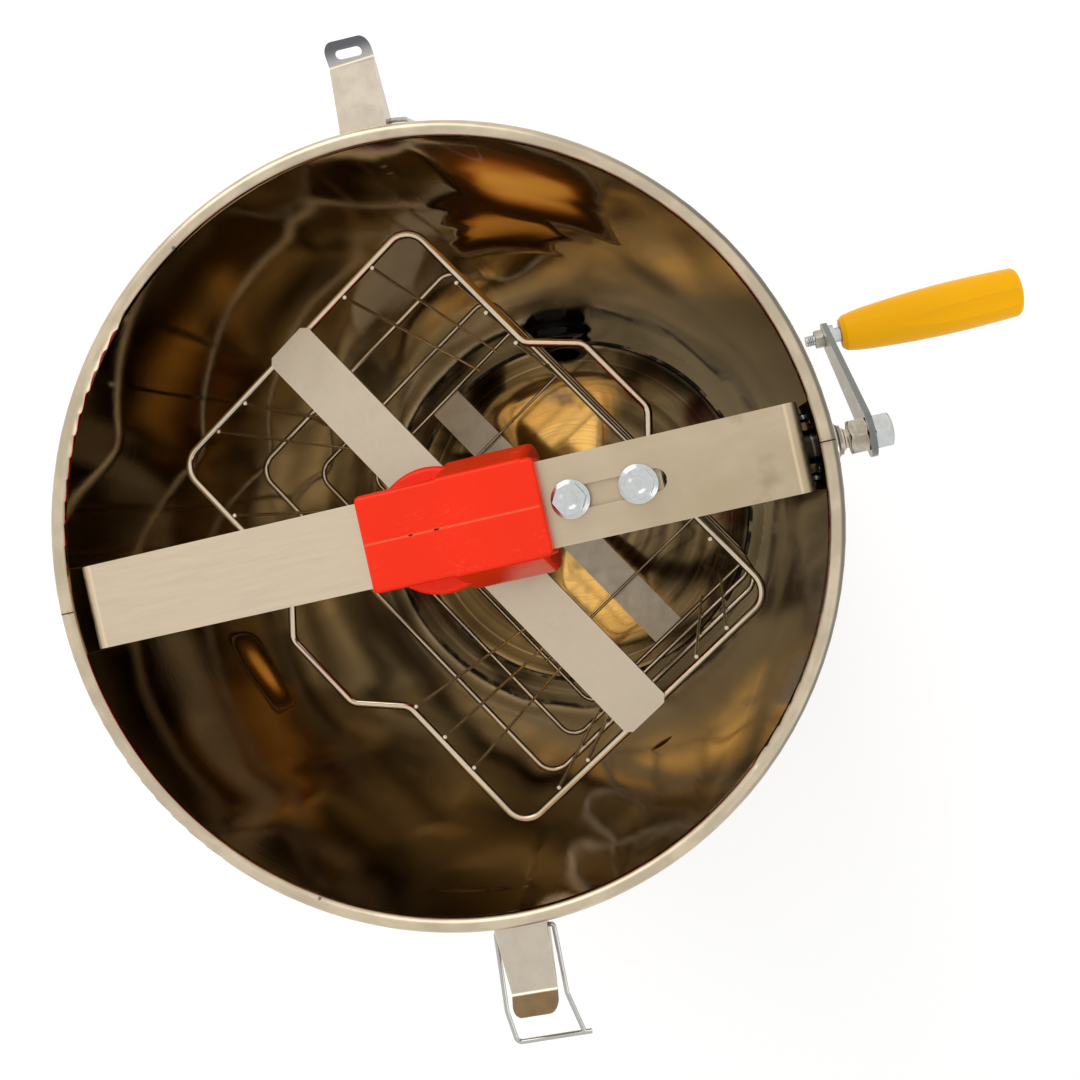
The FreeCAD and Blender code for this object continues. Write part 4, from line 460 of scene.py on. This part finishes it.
def drum_material(colours):
    """Brushed outside, mirror-bright inside streaked with painted reflections, sheen, golden highlights and
    shade, satin rim with its two joints, rust specks and painted shade on its outer roll.
    """
    material, g, shader = new_material("drum_sheet")
    place = g.add("ShaderNodeTexCoord").outputs["Object"]
    radius, x, y, z = g.drum_place(place)
    outside = g.ramp(radius, BORE + SHEET * 0.3, BORE + SHEET * 0.6)
    rim = g.maths("MULTIPLY", g.ramp(z, RIM_FOOT, RIM_FULL), outside)

    # inside: painted reflections in soft upright bands, a painted sheen, painted golden highlight patches,
    # painted light and shade from side to side, thin painted wire reflections, darker towards the floor
    tall = g.scaled(place, (1.0, 1.0, 0.22))
    broad = g.noise(tall, 5.0, detail=2.0, roughness=0.45, swirl=0.8)
    # painted reflections: soft upright bands between the dark reflection colour and the inside colour
    bore = g.blend(g.ramp(broad, 0.36, 0.64), colours.dark_reflection, colours.bore)
    # painted sheen: broad glowing patches
    glow = g.noise(g.scaled(place, (1.0, 1.0, 0.3)), 8.5, detail=2.0, roughness=0.5, swirl=1.3)
    bore = g.blend(g.maths("MULTIPLY", g.ramp(glow, 0.52, 0.72), 0.55), bore, colours.sheen)
    sway = g.maths("SUBTRACT", g.noise(place, 11.0, detail=2.0, roughness=0.5), 0.5)
    patches = 0.0
    for angle, spread, level, reach, wander in GLINT_PATCHES:
        warped = (g.maths("ADD", x, g.maths("MULTIPLY", sway, SWAY_ROUND * wander)),
                  g.maths("SUBTRACT", y, g.maths("MULTIPLY", sway, SWAY_ROUND * wander)),
                  g.maths("ADD", z, g.maths("MULTIPLY", sway, SWAY_UP * wander)), radius)
        patches = g.maths("MAXIMUM", patches, wall_patch(g, warped, angle, spread, level, reach))
    # painted golden highlight on the patches
    bore = g.blend(g.ramp(patches, 0.0, 0.35), bore, colours.wall_highlight)
    # painted light and shade: the inside lighter towards -X and darker towards +X
    side = g.ramp(g.maths("DIVIDE", x, radius), -0.9, 0.95, 1.5, 0.62)
    bore = g.blend(1.0, bore, side, "MULTIPLY")
    # painted reflections of the wires: thin lines in the wire colour
    lines = use_group(g, "Wire reflections", Position=tall, Scale=7.0, Width=0.008)
    bore = g.blend(g.maths("MULTIPLY", lines, 0.6), bore, colours.wire)
    # darker towards the floor, in the grime colour
    bore = g.blend(g.ramp(z, 0.03, 0.012, 0.0, 0.8), bore, colours.grime)

    # outside: lines rolled round the sheet
    rolled = use_group(g, "Brushed grain", Position=place, Stretch=(0.05, 0.05, 1.0), Scale=500.0)
    film = use_group(g, "Film", Position=place, Scale=9.0, Cover=0.42)
    coat = g.blend(g.ramp(rolled, 0.3, 0.7), toned(colours.drum, 0.90), toned(colours.drum, 1.1))
    coat = g.blend(g.maths("MULTIPLY", film, 0.14), coat, colours.grime)

    # rim: satin, with rust specks, handling marks and a joint at each end of the crossbar
    band = g.noise(g.scaled(place, (1.0, 1.0, 6.0)), 60.0, detail=4.0)
    lip = g.blend(g.ramp(band, 0.35, 0.7), toned(colours.rim, 0.9), toned(colours.rim, 1.12))
    # painted shade: the outer half of the roll dark on the +X side
    outer_roll_shade = g.maths("MULTIPLY", g.ramp(radius, BORE + 0.0052, BORE + 0.0066),
                    g.ramp(g.maths("DIVIDE", x, radius), 0.45, 0.85))
    lip = g.blend(g.maths("MULTIPLY", outer_roll_shade, 0.8), lip, RIM_SHADE)
    marks = use_group(g, "Specks", Position=place, Scale=150.0, Size=0.16, Share=0.02)
    lip = g.blend(g.maths("MULTIPLY", marks, 0.7), lip, RIM_MARK)
    rust = use_group(g, "Specks", Position=place, Scale=95.0, Size=0.13, Share=0.03)
    lip = g.blend(g.maths("MULTIPLY", rust, 0.8), lip, colours.rust)
    stain_and_light = g.maths("MULTIPLY", g.band(y, 0.0, 0.0006, 0.0022),
                    g.ramp(g.noise(place, 400.0, detail=3.0), 0.45, 0.7))
    lip = g.blend(g.maths("MULTIPLY", stain_and_light, 0.7), lip, colours.rust)
    lip = g.blend(g.band(y, 0.0, 0.00025, 0.0002), lip, RIM_JOINT)

    base = g.blend(outside, bore, coat)
    base = g.blend(rim, base, lip)
    rough = g.ramp(outside, 0.0, 1.0, 0.06, 0.24)
    rough = g.maths("ADD", rough, g.maths("MULTIPLY", rim, 0.06))
    soft = g.maths("MULTIPLY", patches, g.maths("SUBTRACT", 1.0, outside))
    rough = g.maths("ADD", rough, g.ramp(soft, 0.0, 0.3, 0.0, 0.30))
    waves = g.noise(g.scaled(place, (1.0, 1.0, 0.35)), 6.5, detail=1.5, roughness=0.4, swirl=0.6)
    shape = bump(g, waves, 0.008, g.ramp(outside, 0.0, 1.0, 1.0, 0.3))
    shape = bump(g, g.maths("MULTIPLY", z, -DISH_FALL), 1.0, g.maths("MULTIPLY", soft, LEAN_SHARE), shape)
    feed(g, shader, Base_Color=base, Metallic=1.0, Roughness=rough, Normal=bump(g, rolled, 0.00002, 1.0, shape))
    return material


def floor_material(colours):
    """Spun floor: fine rings on painted dark reflections, a painted golden highlight fan each side of the
    middle, two painted pale highlight rings, grime in the channel.
    """
    material, g, shader = new_material("floor_sheet")
    place = g.add("ShaderNodeTexCoord").outputs["Object"]
    radius, x, y = g.drum_place(place)[:3]
    ring_place = g.add("ShaderNodeCombineXYZ", {0: radius, 1: g.maths("MULTIPLY", x, 0.02), 2: 0.0}).outputs[0]
    rings = g.noise(ring_place, 300.0, detail=4.0, roughness=0.6)
    broad_rings = g.noise(ring_place, 55.0, detail=2.0)
    base = g.blend(g.ramp(broad_rings, 0.4, 0.6), colours.dark_reflection, colours.bore)
    # painted highlight: a golden fan each side of the middle along Y
    fan = g.maths("DIVIDE", g.maths("MULTIPLY", y, y), g.maths("MULTIPLY", radius, radius))
    fan = g.maths("MULTIPLY", g.ramp(fan, 0.62, 0.90), g.ramp(radius, 0.160, 0.130))
    uneven = g.ramp(g.noise(place, 16.0, detail=3.0), 0.30, 0.48)
    base = g.blend(g.maths("MULTIPLY", g.maths("MULTIPLY", fan, uneven), 0.97), base, colours.fan_highlight)
    base = g.blend(g.ramp(rings, 0.5, 0.75, 0.0, 0.3), base, colours.dark_reflection)
    # painted highlights: two thin pale rings in the wire colour
    pale = g.maths("MAXIMUM", g.band(radius, BORE - 0.0185, 0.0008, 0.0012),
                   g.band(radius, BORE - 0.034, 0.0004, 0.001))
    base = g.blend(g.maths("MULTIPLY", pale, 0.75), base, colours.wire)
    dirt = g.maths("MULTIPLY", g.band(radius, BORE - 0.0135, 0.0011, 0.0012),
                   g.ramp(g.noise(place, 40.0, detail=4.0), 0.4, 0.55))
    base = g.blend(dirt, base, CHANNEL_DIRT)
    waves = g.noise(place, 9.0, detail=1.5, roughness=0.45)
    level = bump(g, g.maths("MULTIPLY", radius, FLOOR_SLOPE), 1.0, g.maths("MULTIPLY", fan, LEAN_SHARE))
    rough = g.maths("ADD", g.ramp(rings, 0.3, 0.7, 0.07, 0.12), g.maths("MULTIPLY", dirt, 0.4))
    feed(g, shader, Base_Color=base, Metallic=g.maths("SUBTRACT", 1.0, dirt), Roughness=rough,
         Normal=bump(g, waves, 0.0012, 1.0, level))
    return material


def weld_seam(sizes, radius, outward, angle, low, high):
    """Rippled bead of a seam running up the wall; outward is 1 outside and -1 inside."""
    mesh = bmesh.new()
    half = sizes.seam_width / 2
    across = 6
    sink, fade_length = 0.00008, 0.004      # how deep its edges lie in the sheet; how long its ends are
    steps = int((high - low) / (sizes.ripple / 4))
    rows = []
    for i in range(steps + 1):
        z = low + (high - low) * i / steps
        fade = min(1.0, (z - low) / fade_length, (high - z) / fade_length)
        ripple = 0.75 + 0.25 * math.cos(2 * math.pi * (z - low) / sizes.ripple)
        row = []
        for k in range(across + 1):
            share = 2 * k / across - 1
            rise = sizes.seam_height * math.cos(share * math.pi / 2) * ripple * fade - sink
            turn = angle + share * half / radius
            out = radius + outward * rise
            row.append(mesh.verts.new((out * math.cos(turn), out * math.sin(turn), z)))
        rows.append(row)
    for lower, upper in zip(rows, rows[1:]):
        for k in range(across):
            face = mesh.faces.new((lower[k], lower[k + 1], upper[k + 1], upper[k]))
            face.smooth = True
    if outward < 0:
        bmesh.ops.reverse_faces(mesh, faces=mesh.faces)
    return mesh


class EXTRACTOR_OT_drum(bpy.types.Operator):
    """Finish the drum's sheet, rim and floor and add its weld seams"""
    bl_idname = "extractor.drum"
    bl_label = "Drum"

    def execute(self, context):
        colours = context.scene.extractor_colours
        sizes = context.scene.extractor_sizes
        dress(drum_material(colours), "drum_wall")
        dress(floor_material(colours), "drum_floor")
        seam = metal("weld_bead", colours.rim, 0.3, (1.0, 1.0, 0.4), 600.0, WELD_FILM,
                     film_cover=0.5)
        # the inside seam takes the inside's painted shade and dark reflections
        inner_seam = metal("weld_bead_inside", colours.bore, 0.2, (1.0, 1.0, 0.4), 600.0,
                           colours.dark_reflection, film_cover=0.5)
        top, bottom = RIM_Z - 0.0092, 0.008      # the seams end under the rim and above the rolled foot
        margin = 0.0015      # bare sheet left under the bearing plate and under the bar
        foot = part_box("drum_floor")[0][2] + 0.014
        plate_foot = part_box("wall_bearing_plate")[0][2] - margin
        bar_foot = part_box("crossbar")[0][2] - margin
        for name, outward, angle, low, high, finish in (
                ("seam_left_outside", 1, math.pi, bottom, top, seam),
                ("seam_right_outside", 1, 0.0, bottom, plate_foot, seam),
                ("seam_left_inside", -1, math.pi, foot, top, inner_seam),
                ("seam_right_inside", -1, 0.0, foot, bar_foot, inner_seam)):
            radius = BORE + (SHEET if outward > 0 else 0.0)
            bead = weld_seam(sizes, radius, outward, angle, low, high)
            new_piece(name, bead, "drum", finish)
        return {"FINISHED"}


def bar_tone_and_highlight(g, place, base):
    """Browner towards the crank, a smoky patch near that end and a painted highlight along each bend."""
    x = g.axes(place)[0]
    cloud = g.ramp(g.noise(place, 28.0, detail=4.0), 0.3, 0.7, 0.55, 1.0)
    base = g.blend(g.maths("MULTIPLY", g.ramp(x, -0.03, 0.15, 0.0, 0.9), cloud), base, BAR_BROWN)
    smoke = g.maths("MULTIPLY", g.band(x, BAR_BEND - 0.018, 0.003, 0.012),
                    g.ramp(g.noise(place, 45.0, detail=4.0), 0.45, 0.65))
    base = g.blend(g.maths("MULTIPLY", smoke, 0.35), base, BAR_SMOKE)
    # painted highlight along each bend
    line = g.band(g.maths("ABSOLUTE", x), BAR_BEND, 0.0002, 0.0010)
    return g.blend(g.maths("MULTIPLY", line, 0.45), base, BEND_HIGHLIGHT)


def gap_shade(g, place, base):
    """Painted shade: black on what sits between the bar's bent ends and the wall."""
    radius = g.drum_place(place)[0]
    # painted shade: dark on what lies within about a centimetre inside the wall, behind the bar's ends
    hidden = g.band(radius, BORE - 0.006, 0.0052, 0.001)
    return g.blend(g.maths("MULTIPLY", hidden, 0.93), base, GAP_SHADE)


def lever_shade_and_highlight(g, place, base):
    """Painted shade on the finger tabs beyond the fold, and a painted highlight along the fold."""
    y = g.axes(place)[1]
    edge = 0.0008      # over this length a tab's shade fades in
    # painted shade: the back tab lit next to the fold and shaded further out
    back_tab_shade = g.blend(g.ramp(y, LEVER_FOLD, LEVER_FOLD + 0.007), BACK_TAB_LIT, BACK_TAB_SHADED)
    base = g.blend(g.ramp(y, LEVER_FOLD, LEVER_FOLD + edge), base, back_tab_shade)
    # painted shade: the front tab dark
    base = g.blend(g.ramp(y, -LEVER_FOLD, -LEVER_FOLD - edge), base, FRONT_TAB_SHADE)
    # painted highlight along each fold
    fold = g.band(g.maths("ABSOLUTE", y), LEVER_FOLD - 0.0003, 0.0002, 0.0003)
    return g.blend(g.maths("MULTIPLY", fold, 0.9), base, FOLD_HIGHLIGHT)


def arm_edge_shade(g, place, base):
    """Painted shade: the arm's narrow edge faces dark, its broad faces left bright."""
    normal = g.add("ShaderNodeTexCoord").outputs["Normal"]
    # painted shade on the arm's narrow edge faces
    edge_shade = g.ramp(g.maths("ABSOLUTE", g.axes(normal)[0]), 0.8, 0.4)
    return g.blend(g.maths("MULTIPLY", edge_shade, 0.92), base, ARM_EDGE_SHADE)


class EXTRACTOR_OT_crossbar(bpy.types.Operator):
    """Finish the crossbar and the bearing block"""
    bl_idname = "extractor.crossbar"
    bl_label = "Crossbar"

    def execute(self, context):
        colours = context.scene.extractor_colours
        steel = metal("satin_bar", colours.bar, 0.44, (0.07, 1.0, 1.0), 380.0, colours.grime,
                      tone=0.05, film_cover=0.3, film_scale=16.0, film_share=0.16, wear=0.3, stain_and_light=bar_tone_and_highlight)
        dress(steel, "crossbar", "bearing_block")
        return {"FINISHED"}


class EXTRACTOR_OT_cage(bpy.types.Operator):
    """Finish the cage's strips and wires and add its spot welds"""
    bl_idname = "extractor.cage"
    bl_label = "Cage"

    def execute(self, context):
        colours = context.scene.extractor_colours
        sizes = context.scene.extractor_sizes
        strip = metal("satin_strip", colours.cage, 0.38, (0.5, 0.5, 1.0), 160.0, colours.grime,
                      tone=0.05, film_share=0.12, wear=0.3)
        dress(strip, "top_strip", "bottom_strip", "top_hub", "bottom_hub", "hub_pins", "cage_shaft",
              "drive_shaft", "drive_gear_pin", "cage_gear_pin")
        wire = metal("bright_wire", colours.wire, 0.16, (1.0, 1.0, 1.0), 900.0, colours.grime,
                     film_cover=0.42, tone=0.10)
        dress(wire, "top_hoop", "upper_hoop", "lower_hoop", "bottom_hoop", "side_wires", "end_wires",
              "base_wires")
        spring = metal("spring_wire", colours.bail, 0.2, (1.0, 1.0, 1.0), 900.0, colours.grime,
                       tone=0.08)
        dress(spring, "latch_bail_front", "latch_bail_back")
        welds = bmesh.new()
        levels = [middle(node).z for node in ("top_hoop", "upper_hoop", "lower_hoop", "bottom_hoop")]
        for node, outward in (("side_wires", CAGE_WIDE), ("end_wires", CAGE_LONG)):
            for centre in solid_middles(node):
                side = outward if centre.dot(outward) > 0 else -outward
                for level in levels:
                    spot = Vector((centre.x, centre.y, level)) + side * sizes.weld * 0.85
                    place = Matrix.Translation(spot) @ Matrix.Diagonal((1.0, 1.0, 1.5, 1.0))
                    bmesh.ops.create_icosphere(welds, subdivisions=2, radius=sizes.weld, matrix=place)
        for face in welds.faces:
            face.smooth = True
        weld = metal("weld_spots", toned(colours.wire, 0.45), 0.35, (1.0, 1.0, 1.0), 900.0,
                     colours.grime, film_cover=0.5)
        new_piece("spot_welds", welds, "cage", weld)
        return {"FINISHED"}


class EXTRACTOR_OT_fasteners(bpy.types.Operator):
    """Finish bolts, nuts, rivets and collars"""
    bl_idname = "extractor.fasteners"
    bl_label = "Fasteners"

    def execute(self, context):
        colours = context.scene.extractor_colours
        # painted shade on flats that don't face up, and painted black shade on what sits in the gap by the wall
        zinc = metal("bright_zinc", colours.zinc, 0.24, (1.0, 1.0, 1.0), 300.0, ZINC_FILM,
                     film_cover=0.4, tone=0.07, film_scale=90.0, facet_shade=0.75, stain_and_light=gap_shade)
        dress(zinc, "crossbar_bolts", "crossbar_nuts", "block_bolts", "cover_screws", "crank_cap_nut",
              "grip_bolt", "grip_collar", "gate_pivot_bolt", "gate_clamp_stud", "drive_collar")
        # painted shade on flats that don't face up
        aged = metal("aged_zinc", colours.aged, 0.3, (1.0, 1.0, 1.0), 260.0, AGED_FILM,
                     film_cover=0.5, tone=0.15, film_scale=120.0, film_share=0.5, wear=0.6, facet_shade=0.6)
        dress(aged, "crank_locknut", "grip_nut")
        pressed = metal("pressed_sheet", colours.pressed, 0.25, (0.4, 0.4, 1.0), 220.0,
                        colours.grime, tone=0.05, film_share=0.14, wear=0.5)
        dress(pressed, "wall_bearing_plate", "plate_rivets", "foot_bearing_rivets", "bearing_rivets",
              "latch_rivets", "latch_pins", "latch_base_front", "latch_base_back")
        lever = metal("pressed_lever", colours.pressed, 0.3, (0.4, 0.4, 1.0), 220.0, colours.grime,
                      tone=0.05, film_share=0.12, wear=0.7, stain_and_light=lever_shade_and_highlight)
        dress(lever, "latch_lever_front", "latch_lever_back")
        brass = metal("turned_brass", colours.brass, 0.25, (1.0, 0.1, 0.1), 900.0, BRASS_FILM)
        dress(brass, "top_bearing", "foot_bearing")
        # painted shade: a darker copy of the aged zinc, darker again on flats that don't face up, with painted
        # black shade in the gap by the wall
        bush = metal("turned_bush", toned(colours.aged, 0.6), 0.3, (1.0, 0.1, 0.1), 900.0,
                     BUSH_FILM, film_cover=0.55, film_share=0.4, facet_shade=0.4, stain_and_light=gap_shade)
        dress(bush, "wall_bush")
        self.add_threads(context, zinc, aged)
        return {"FINISHED"}

    def add_threads(self, context, zinc, aged):
        """Thread ridges on the shank ends that stand out of their nuts."""
        height = context.scene.extractor_sizes.thread
        nut_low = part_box("crank_locknut")[0]
        axis = middle("crank_locknut")
        bush_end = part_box("wall_bush")[1][0] + 0.0018
        runs = [("shaft_thread", "crank", aged, Vector((bush_end, axis.y, axis.z)),
                 Vector((nut_low[0], axis.y, axis.z)), 0.005, 0.0015)]
        small_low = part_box("grip_nut")[0]
        centre = middle("grip_nut")
        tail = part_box("grip_bolt")[0][0] + 0.0003
        runs.append(("grip_bolt_thread", "crank", zinc, Vector((tail, centre.y, centre.z)),
                     Vector((small_low[0], centre.y, centre.z)), 0.003, 0.001))
        for name, body, material, start, end, shank, pitch in runs:
            new_piece(name, thread_ridge(start, end, shank, pitch, height), body, material)


class EXTRACTOR_OT_gears(bpy.types.Operator):
    """Finish the bevel gears"""
    bl_idname = "extractor.gears"
    bl_label = "Bevel gears"

    def execute(self, context):
        colours = context.scene.extractor_colours
        steel = metal("oiled_gear_steel", colours.gear, 0.3, (1.0, 1.0, 1.0), 500.0, GEAR_OIL,
                      film_cover=0.5)
        dress(steel, "drive_gear", "cage_gear")
        return {"FINISHED"}


def moulded(name, colour, roughness, pale, scale=420.0, depth=0.00004, gloss=0.35):
    """Moulded plastic: faint orange peel, slight tone and gloss changes, rubbed edges."""
    material, g, shader = new_material(name)
    place = g.add("ShaderNodeTexCoord").outputs["Object"]
    peel = g.noise(place, scale, detail=2.0, roughness=0.5)
    film = use_group(g, "Film", Position=place, Scale=26.0, Cover=0.45)
    lines = use_group(g, "Scratches", Position=place, Stretch=(0.3, 1.0, 1.0), Scale=260.0)
    edge = use_group(g, "Edge wear", Position=place, Width=0.0016)
    tone = g.noise(place, 14.0, detail=2.0)
    base = g.blend(g.ramp(tone, 0.3, 0.7), toned(colour, 0.93), colour)
    base = g.blend(g.maths("MULTIPLY", lines, 0.3), base, pale)
    base = g.blend(g.maths("MULTIPLY", edge, 0.35), base, pale)
    rough = g.maths("ADD", roughness, g.maths("MULTIPLY", film, 0.07))
    feed(g, shader, Base_Color=base, Roughness=rough, Normal=bump(g, peel, depth))
    shader.inputs["Specular IOR Level"].default_value = gloss
    return material, g, shader, place, base


class EXTRACTOR_OT_cover(bpy.types.Operator):
    """Finish the two halves of the gear cover"""
    bl_idname = "extractor.cover"
    bl_label = "Gear cover"

    def execute(self, context):
        colours = context.scene.extractor_colours
        red, g, shader, place, base = moulded("red_moulding", colours.cover, 0.22, COVER_RUB,
                                              gloss=0.18)
        y, z = g.axes(place)[1:]
        # painted highlight: a paler line along the parting line on top of the cover
        above = g.ramp(z, COVER_TOP - 0.0006, COVER_TOP - 0.0002)
        parting_highlight = g.maths("MULTIPLY", g.band(y, 0.0, 0.0003, 0.0003), above)
        feed(g, shader, Base_Color=g.blend(g.maths("MULTIPLY", parting_highlight, 0.55), base, PARTING_HIGHLIGHT))
        dress(red, "gear_cover_left", "gear_cover_right")
        return {"FINISHED"}


class EXTRACTOR_OT_crank(bpy.types.Operator):
    """Finish the crank's arm and grip"""
    bl_idname = "extractor.crank"
    bl_label = "Crank"

    def execute(self, context):
        colours = context.scene.extractor_colours
        arm = metal("plated_arm", colours.arm, 0.3, (1.0, 0.4, 0.15), 300.0, ARM_FILM,
                    tone=0.08, wear=0.8, stain_and_light=arm_edge_shade)
        dress(arm, "crank_arm")
        orange = moulded("orange_moulding", colours.grip, 0.34, GRIP_RUB, scale=300.0, gloss=0.12)[0]
        dress(orange, "crank_grip")
        return {"FINISHED"}


class EXTRACTOR_OT_gate(bpy.types.Operator):
    """Finish the honey gate and its seals"""
    bl_idname = "extractor.gate"
    bl_label = "Honey gate"

    def execute(self, context):
        colours = context.scene.extractor_colours
        black = moulded("black_moulding", colours.gate, 0.42, GATE_RUB, depth=0.00008)[0]
        dress(black, "gate_body", "gate_nut", "gate_flap", "gate_wing_nut")
        rubber = moulded("soft_rubber", RUBBER, 0.62, RUBBER_RUB, depth=0.0001)[0]
        dress(rubber, "gate_gaskets")
        return {"FINISHED"}


def seen_share(g):
    """1 for what is seen directly, in a mirror or through a pane, and 0 for what only lights the rest."""
    rays = g.add("ShaderNodeLightPath").outputs
    return g.maths("MAXIMUM", g.maths("MAXIMUM", rays["Is Camera Ray"], rays["Is Glossy Ray"]),
                   rays["Is Transmission Ray"])


class EXTRACTOR_OT_stage(bpy.types.Operator):
    """Set the camera, the pale floor and the lamps"""
    bl_idname = "extractor.stage"
    bl_label = "Studio stage"

    def execute(self, context):
        scene = context.scene
        stage = scene.extractor_stage
        camera = bpy.data.objects.new("camera", bpy.data.cameras.new("camera"))
        scene.collection.objects.link(camera)
        camera.location = Vector((0, 0, RIM_Z)) + Vector(stage.eye)
        camera.rotation_euler = Euler(stage.turn)
        camera.data.lens = stage.lens
        camera.data.clip_start = 0.01
        scene.camera = camera

        mesh = bpy.data.meshes.new("studio_floor")
        half, drop = 6.0, 0.0005      # half its width, and how far it lies under the drum
        corners = [(-half, -half), (half, -half), (half, half), (-half, half)]
        mesh.from_pydata([(x, y, -drop) for x, y in corners], [], [(0, 1, 2, 3)])
        floor = bpy.data.objects.new("studio_floor", mesh)
        scene.collection.objects.link(floor)
        material, g, shader = new_material("studio_paper")
        feed(g, shader, Base_Color=stage.floor, Roughness=0.9, Specular_IOR_Level=0.0,
             Emission_Color=(1.0, 1.0, 1.0), Emission_Strength=g.maths("MULTIPLY", seen_share(g), stage.glow))
        mesh.materials.append(material)

        world = bpy.data.worlds.new("studio")
        scene.world = world
        world.use_nodes = True
        world.node_tree.nodes.clear()
        g = Graph(world.node_tree)
        strength = g.add("ShaderNodeMapRange", {"Value": seen_share(g), "To Min": stage.room,
                                                "To Max": 1.0}).outputs[0]
        background = g.add("ShaderNodeBackground", {"Color": (1, 1, 1, 1), "Strength": strength})
        output = g.add("ShaderNodeOutputWorld")
        g.tree.links.new(background.outputs[0], output.inputs[0])

        for name, place, aim, size, power in (
                ("key", (-0.7, 2.1, 2.3), (0, 0, RIM_Z), 1.6, stage.key),
                ("fill", (1.9, -1.5, 1.5), (0, 0, RIM_Z), 1.2, stage.fill)):
            data = bpy.data.lights.new(name, "AREA")
            data.size = size
            data.energy = power
            lamp = bpy.data.objects.new(name, data)
            scene.collection.objects.link(lamp)
            lamp.location = place
            lamp.rotation_euler = (Vector(aim) - Vector(place)).to_track_quat("-Z", "Y").to_euler()
        scene.view_settings.view_transform = "Standard"
        return {"FINISHED"}


class EXTRACTOR_PT_panel(bpy.types.Panel):
    """Shows the extractor's steps and settings"""
    bl_idname = "EXTRACTOR_PT_panel"
    bl_label = "Honey extractor"
    bl_space_type = "VIEW_3D"
    bl_region_type = "UI"
    bl_category = "Extractor"

    def draw(self, context):
        for step in STEPS:
            self.layout.operator(step.bl_idname)
        for group in (context.scene.extractor_colours, context.scene.extractor_sizes,
                      context.scene.extractor_stage):
            box = self.layout.box()
            for name in group.bl_rna.properties.keys():
                if name not in ("rna_type", "name"):
                    box.prop(group, name)


SETTINGS = (ExtractorColours, ExtractorSizes, StageSettings)
STEPS = (EXTRACTOR_OT_drum, EXTRACTOR_OT_crossbar, EXTRACTOR_OT_cage, EXTRACTOR_OT_fasteners,
         EXTRACTOR_OT_gears, EXTRACTOR_OT_cover, EXTRACTOR_OT_crank, EXTRACTOR_OT_gate, EXTRACTOR_OT_stage)


def register():
    for cls in SETTINGS + STEPS + (EXTRACTOR_PT_panel,):
        bpy.utils.register_class(cls)
    bpy.types.Scene.extractor_colours = bpy.props.PointerProperty(type=ExtractorColours)
    bpy.types.Scene.extractor_sizes = bpy.props.PointerProperty(type=ExtractorSizes)
    bpy.types.Scene.extractor_stage = bpy.props.PointerProperty(type=StageSettings)


def unregister():
    del bpy.types.Scene.extractor_stage
    del bpy.types.Scene.extractor_sizes
    del bpy.types.Scene.extractor_colours
    for cls in reversed(SETTINGS + STEPS + (EXTRACTOR_PT_panel,)):
        bpy.utils.unregister_class(cls)


def main():
    register()
    build_groups()
    for step in STEPS:
        area, name = step.bl_idname.split(".")
        getattr(getattr(bpy.ops, area), name)()


if __name__ == "__main__":
    main()
